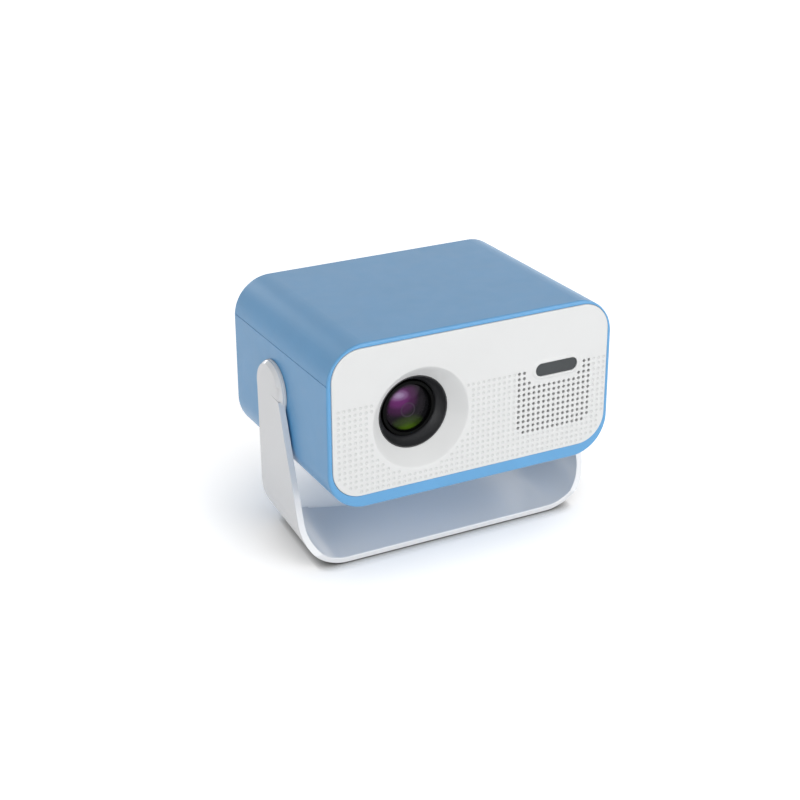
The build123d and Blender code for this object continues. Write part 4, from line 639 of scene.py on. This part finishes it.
# Triangles between the border and the dimples' rims, none of them inside a dimple or an opening
def laidFlat(d, local, border, loops, centres, rims, firstRim):
    rimIds = np.arange(len(rims)).reshape(len(centres), d["around"])
    rimSides = np.stack([rimIds, np.roll(rimIds, -1, 1)], -1).reshape(-1, 2)
    used, borderIds = np.unique(border, return_inverse=True)
    flatPoints = np.concatenate([local[used][:, [0, 2]], rims]) * 1000  # in millimetres
    flatSides = np.concatenate([borderIds.reshape(-1, 2), rimSides + len(used)])
    _, _, laidFaces, origin, _, _ = delaunay_2d_cdt(
        [Vector(p) for p in flatPoints.tolist()], flatSides.tolist(), [], 0, d["meet"], True
    )
    source = np.array([ids[0] for ids in origin])  # the given point behind each laid one
    tri = source[np.array(laidFaces)]
    middle = flatPoints[tri].mean(1) / 1000
    corner = [d["left"], d["top"]]
    nearest = np.round((middle - corner) / d["pitch"]) * d["pitch"] + corner
    has = {tuple(p) for p in np.round(centres * microns).astype(int).tolist()}
    dimpled = np.array([tuple(p) in has for p in np.round(nearest * microns).astype(int).tolist()])
    inBowl = dimpled & (np.linalg.norm(middle - nearest, axis=1) < d["radius"] * d["inside"])
    tri = tri[insideLoops(middle, loops) & ~inBowl]
    a, b, c = np.moveaxis(flatPoints[tri], 1, 0)
    turn = (b - a)[:, 0] * (c - a)[:, 1] - (b - a)[:, 1] * (c - a)[:, 0]
    tri[turn < 0] = tri[turn < 0][:, ::-1]
    return np.concatenate([used, firstRim + np.arange(len(rims))])[tri]


# Bowls: rings of points round each centre, whose depth falls off with the square of the radius,
# and a pit in the middle
def bowls(d, centres, circle, firstRim):
    n, m = d["around"], len(centres)
    rings = np.array([1.0, *d["rings"]])
    flat = centres[:, None, None] + d["radius"] * rings[:, None, None] * circle
    deep = d["depth"] * (1 - rings ** 2)
    x, z = flat[..., 0], flat[..., 1]
    points = np.stack([x, d["face"] + deep[:, None] + 0 * x, z], -1)
    pits = np.stack([centres[:, 0], np.full(m, d["face"] + d["depth"]), centres[:, 1]], -1)
    ids = firstRim + np.moveaxis(np.arange(len(rings) * m * n).reshape(-1, m, n), 0, 1)
    walls = quads(ids[:, :-1], ids[:, 1:])
    last = ids[:, -1]
    pitIds = np.broadcast_to((firstRim + len(rings) * m * n + np.arange(m))[:, None], last.shape)
    caps = np.stack([last, np.roll(last, -1, 1), pitIds], -1).reshape(-1, 3)
    return np.concatenate([np.moveaxis(points, 1, 0).reshape(-1, 3), pits]), walls, caps


# The panel again: new ring, new flat with circles left out, and a bowl in each circle
def layDimples(d, r):
    points, faces = mergedNode("front_panel")
    local = toHead(points)
    slope, wallTop, rows = ringRows(r, d, local, faces)
    ringIds = len(points) + np.arange(rows.shape[0] * rows.shape[1]).reshape(rows.shape[:2])
    rows = rows.reshape(-1, 3)
    points, local = np.concatenate([points, toWorld(rows)]), np.concatenate([local, rows])
    ringIds = np.concatenate([ringIds, wallTop[None]])
    ringFaces = quads(ringIds[:-1], ringIds[1:])
    faces = faces[~slope]
    flat = (np.abs(local[:, 1] - d["face"]) < d["faceWithin"])[faces].all(1)
    border = flatBorder(faces[flat], local, r, ringIds[0])
    loops = local[:, [0, 2]][border]
    centres = dimpleCentres(d, r, loops)
    angle = np.arange(d["around"]) * 2 * pi / d["around"]
    circle = np.stack([np.cos(angle), np.sin(angle)], -1)
    rims = (centres[:, None] + d["radius"] * circle).reshape(-1, 2)
    firstRim = len(points)
    laid = laidFlat(d, local, border, loops, centres, rims, firstRim)
    bowlPoints, walls, caps = bowls(d, centres, circle, firstRim)
    allPoints = np.concatenate([points, toWorld(bowlPoints)])
    parts = (faces[~flat], laid, walls, caps, ringFaces)
    allFaces = [face for part in parts for face in part.tolist()]
    finish = finishes["panelWhite"]
    skin = makePiece("dimpled_panel", allPoints, allFaces, finish, "head")
    inside = np.zeros(len(allPoints))
    inside[firstRim + len(rims):] = 1.0  # below the rims: these points get the painted shade in the dimples
    skin.data.attributes.new("hollow", "FLOAT", "POINT").data.foreach_set("value", inside)
    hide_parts("front_panel")
    print("front panel laid with", len(centres), "dimples,", len(allFaces), "faces")


layDimples(dimples, ringMound)


# Lens: turned pieces round the lens axis, sizes in metres of the level head
lensAxis = (-0.0353, -0.0030)
frontLens = dict(radius=0.0152, edge=-0.0564, seat=-0.0534, bulge=0.0036, around=96, along=28)
hood = dict(
    lip=0.0226, mouth=0.0217, throat=0.0178, wall=0.0014, flange=0.0270, brim=0.0020,
    front=-0.0636, throatFront=-0.0566, back=-0.0526, flangeFront=-0.0616, flangeBack=-0.0601,
    roundLip=0.00045, hollow=0.00030, lipPoints=9, along=14, around=128, sharp=25.0,
)


# Painted reflections on the front lens, over a dark base colour that stands in for the shade inside
# the lens:
# each spot's centre and size are shares of the glass's radius, and each list gives a spot's
# strength from its middle out
coatingAndPaintedReflections = dict(
    # dark stands in for the shade inside the lens; magenta and green are painted reflections, glow
    # a painted highlight
    dark=(16, 16, 18),
    magenta=dict(centre=(-0.50, 0.56), size=(1.00, 0.88), colour=(116, 50, 116)),
    glow=dict(centre=(-0.44, 0.62), size=(0.46, 0.24), colour=(160, 140, 174)),
    green=dict(centre=(-0.08, -1.08), size=(0.98, 0.98), colour=(76, 108, 12)),
    # painted reflection of the stop's ring
    stop=dict(centre=(-0.10, 0.0), size=(0.33, 0.33), colour=(70, 62, 74)),
    whole=dict(centre=(0.0, 0.0), size=(1.0, 1.0)),
    fading=[(0.0, 1.0), (0.3, 0.72), (0.62, 0.26), (1.0, 0.0)],
    stopRing=[(0.0, 0.08), (0.55, 0.10), (0.68, 0.06), (0.80, 0.42), (0.88, 0.42), (1.0, 0.0)],
    # painted shade towards the rim of the glass
    rim=[(0.82, 0.0), (0.95, 1.0)],
    rimShade=0.4,
    smudge=5.0,
    dust=(0.10, 0.16),
    shine=0.12,
    tint=(236, 206, 240),
)


# The distance from a place on the glass, in units of the spot's size, through a ramp
def blotch(tree, coords, spot, stops):
    place = tree.nodes.new("ShaderNodeMapping")
    place.vector_type = "TEXTURE"
    (u, w), (across, high) = spot["centre"], spot["size"]
    r = frontLens["radius"]
    middle = (lensAxis[0] + u * r, frontLens["edge"], lensAxis[1] + w * r)
    place.inputs["Location"].default_value = toWorld(middle)
    place.inputs["Rotation"].default_value = (radians(-headPose["tilt"]), 0, 0)
    place.inputs["Scale"].default_value = (across * r, 1.0, high * r)
    reach = tree.nodes.new("ShaderNodeVectorMath")
    reach.operation = "LENGTH"
    tree.links.new(coords, place.inputs["Vector"])
    tree.links.new(place.outputs["Vector"], reach.inputs[0])
    fade = tree.nodes.new("ShaderNodeValToRGB")
    fade.color_ramp.interpolation = "EASE"
    elements = fade.color_ramp.elements
    elements.remove(elements[1])
    elements[0].position, elements[0].color = stops[0][0], (stops[0][1],) * 3 + (1,)
    for position, value in stops[1:]:
        elements.new(position).color = (value,) * 3 + (1,)
    tree.links.new(reach.outputs["Value"], fade.inputs["Fac"])
    return fade.outputs["Color"]


# Front lens: painted reflections, magenta above and green below, a painted highlight as a pale
# glow, the stop's ring as a painted reflection, and painted shade at the rim
def paintedReflectionGlass(name, c):
    mat, tree, shader, coords = newFinish(name)
    colour = shade(c["dark"], 1.0)
    # painted reflections and the painted highlight, one over the other
    for spotName in ("magenta", "glow", "green"):
        factor = blotch(tree, coords, c[spotName], c["fading"])
        colour = laidOver(tree, colour, shade(c[spotName]["colour"], 1.0), factor)
    # painted reflection of the stop's ring
    ring = blotch(tree, coords, c["stop"], c["stopRing"])
    colour = laidOver(tree, colour, shade(c["stop"]["colour"], 1.0), ring)
    # painted shade at the rim
    rim = blotch(tree, coords, c["whole"], c["rim"])
    colour = laidOver(tree, colour, shade(c["dark"], c["rimShade"]), rim)
    tree.links.new(colour, shader.inputs["Base Color"])
    dust = span(tree, noise(tree, coords, c["smudge"], 4.0), *c["dust"])
    tree.links.new(dust, shader.inputs["Roughness"])
    shader.inputs["Specular IOR Level"].default_value = c["shine"]
    shader.inputs["Specular Tint"].default_value = shade(c["tint"], 1.0)
    return mat


# Spherical front from the axis to the rim, the edge, and the flat back to the axis
def lensProfile(g):
    sphere = (g["radius"] ** 2 + g["bulge"] ** 2) / (2 * g["bulge"])
    a = np.linspace(0, np.arcsin(g["radius"] / sphere), g["along"])
    front = np.stack([sphere * np.sin(a), g["edge"] - g["bulge"] + sphere * (1 - np.cos(a))], -1)
    return np.concatenate([front, [(g["radius"], g["seat"]), (0.0, g["seat"])]])


def hoodProfile(h):  # rounded lip, a cone hollowed by a sine, throat, and the flange behind
    a = np.linspace(0, pi, h["lipPoints"])
    mid, half = (h["lip"] + h["mouth"]) / 2, (h["lip"] - h["mouth"]) / 2
    lip = np.stack([mid + half * np.cos(a), h["front"] + h["roundLip"] * (1 - np.sin(a))], -1)
    t = np.linspace(0, 1, h["along"])[1:-1]
    radius = h["mouth"] + (h["throat"] - h["mouth"]) * t + h["hollow"] * np.sin(pi * t)
    length = h["throatFront"] - h["front"] - h["roundLip"]
    cone = np.stack([radius, h["front"] + h["roundLip"] + length * t], -1)
    outside = h["throat"] + h["wall"]
    rest = [
        (h["throat"], h["throatFront"]), (h["throat"], h["back"]), (outside, h["back"]),
        (outside, h["throatFront"]), (outside + h["brim"], h["flangeBack"]),
        (h["flange"], h["flangeBack"]), (h["flange"], h["flangeFront"]),
        (h["lip"], h["flangeFront"]), (h["lip"], h["front"] + h["roundLip"]),
    ]
    return np.concatenate([lip, cone, rest])


finishes["frontPaintedReflections"] = paintedReflectionGlass("frontPaintedReflections", coatingAndPaintedReflections)
frontGlass = turned("front_glass", lensProfile(frontLens), lensAxis, frontLens["around"],
                    finishes["frontPaintedReflections"], "lens_group")
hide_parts("front_lens")
blackHood = turned("lens_funnel", hoodProfile(hood), lensAxis, hood["around"],
                   finishes["hoodBlack"], "head", hood["sharp"])
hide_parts("lens_hood")
print("lens glass and hood turned")
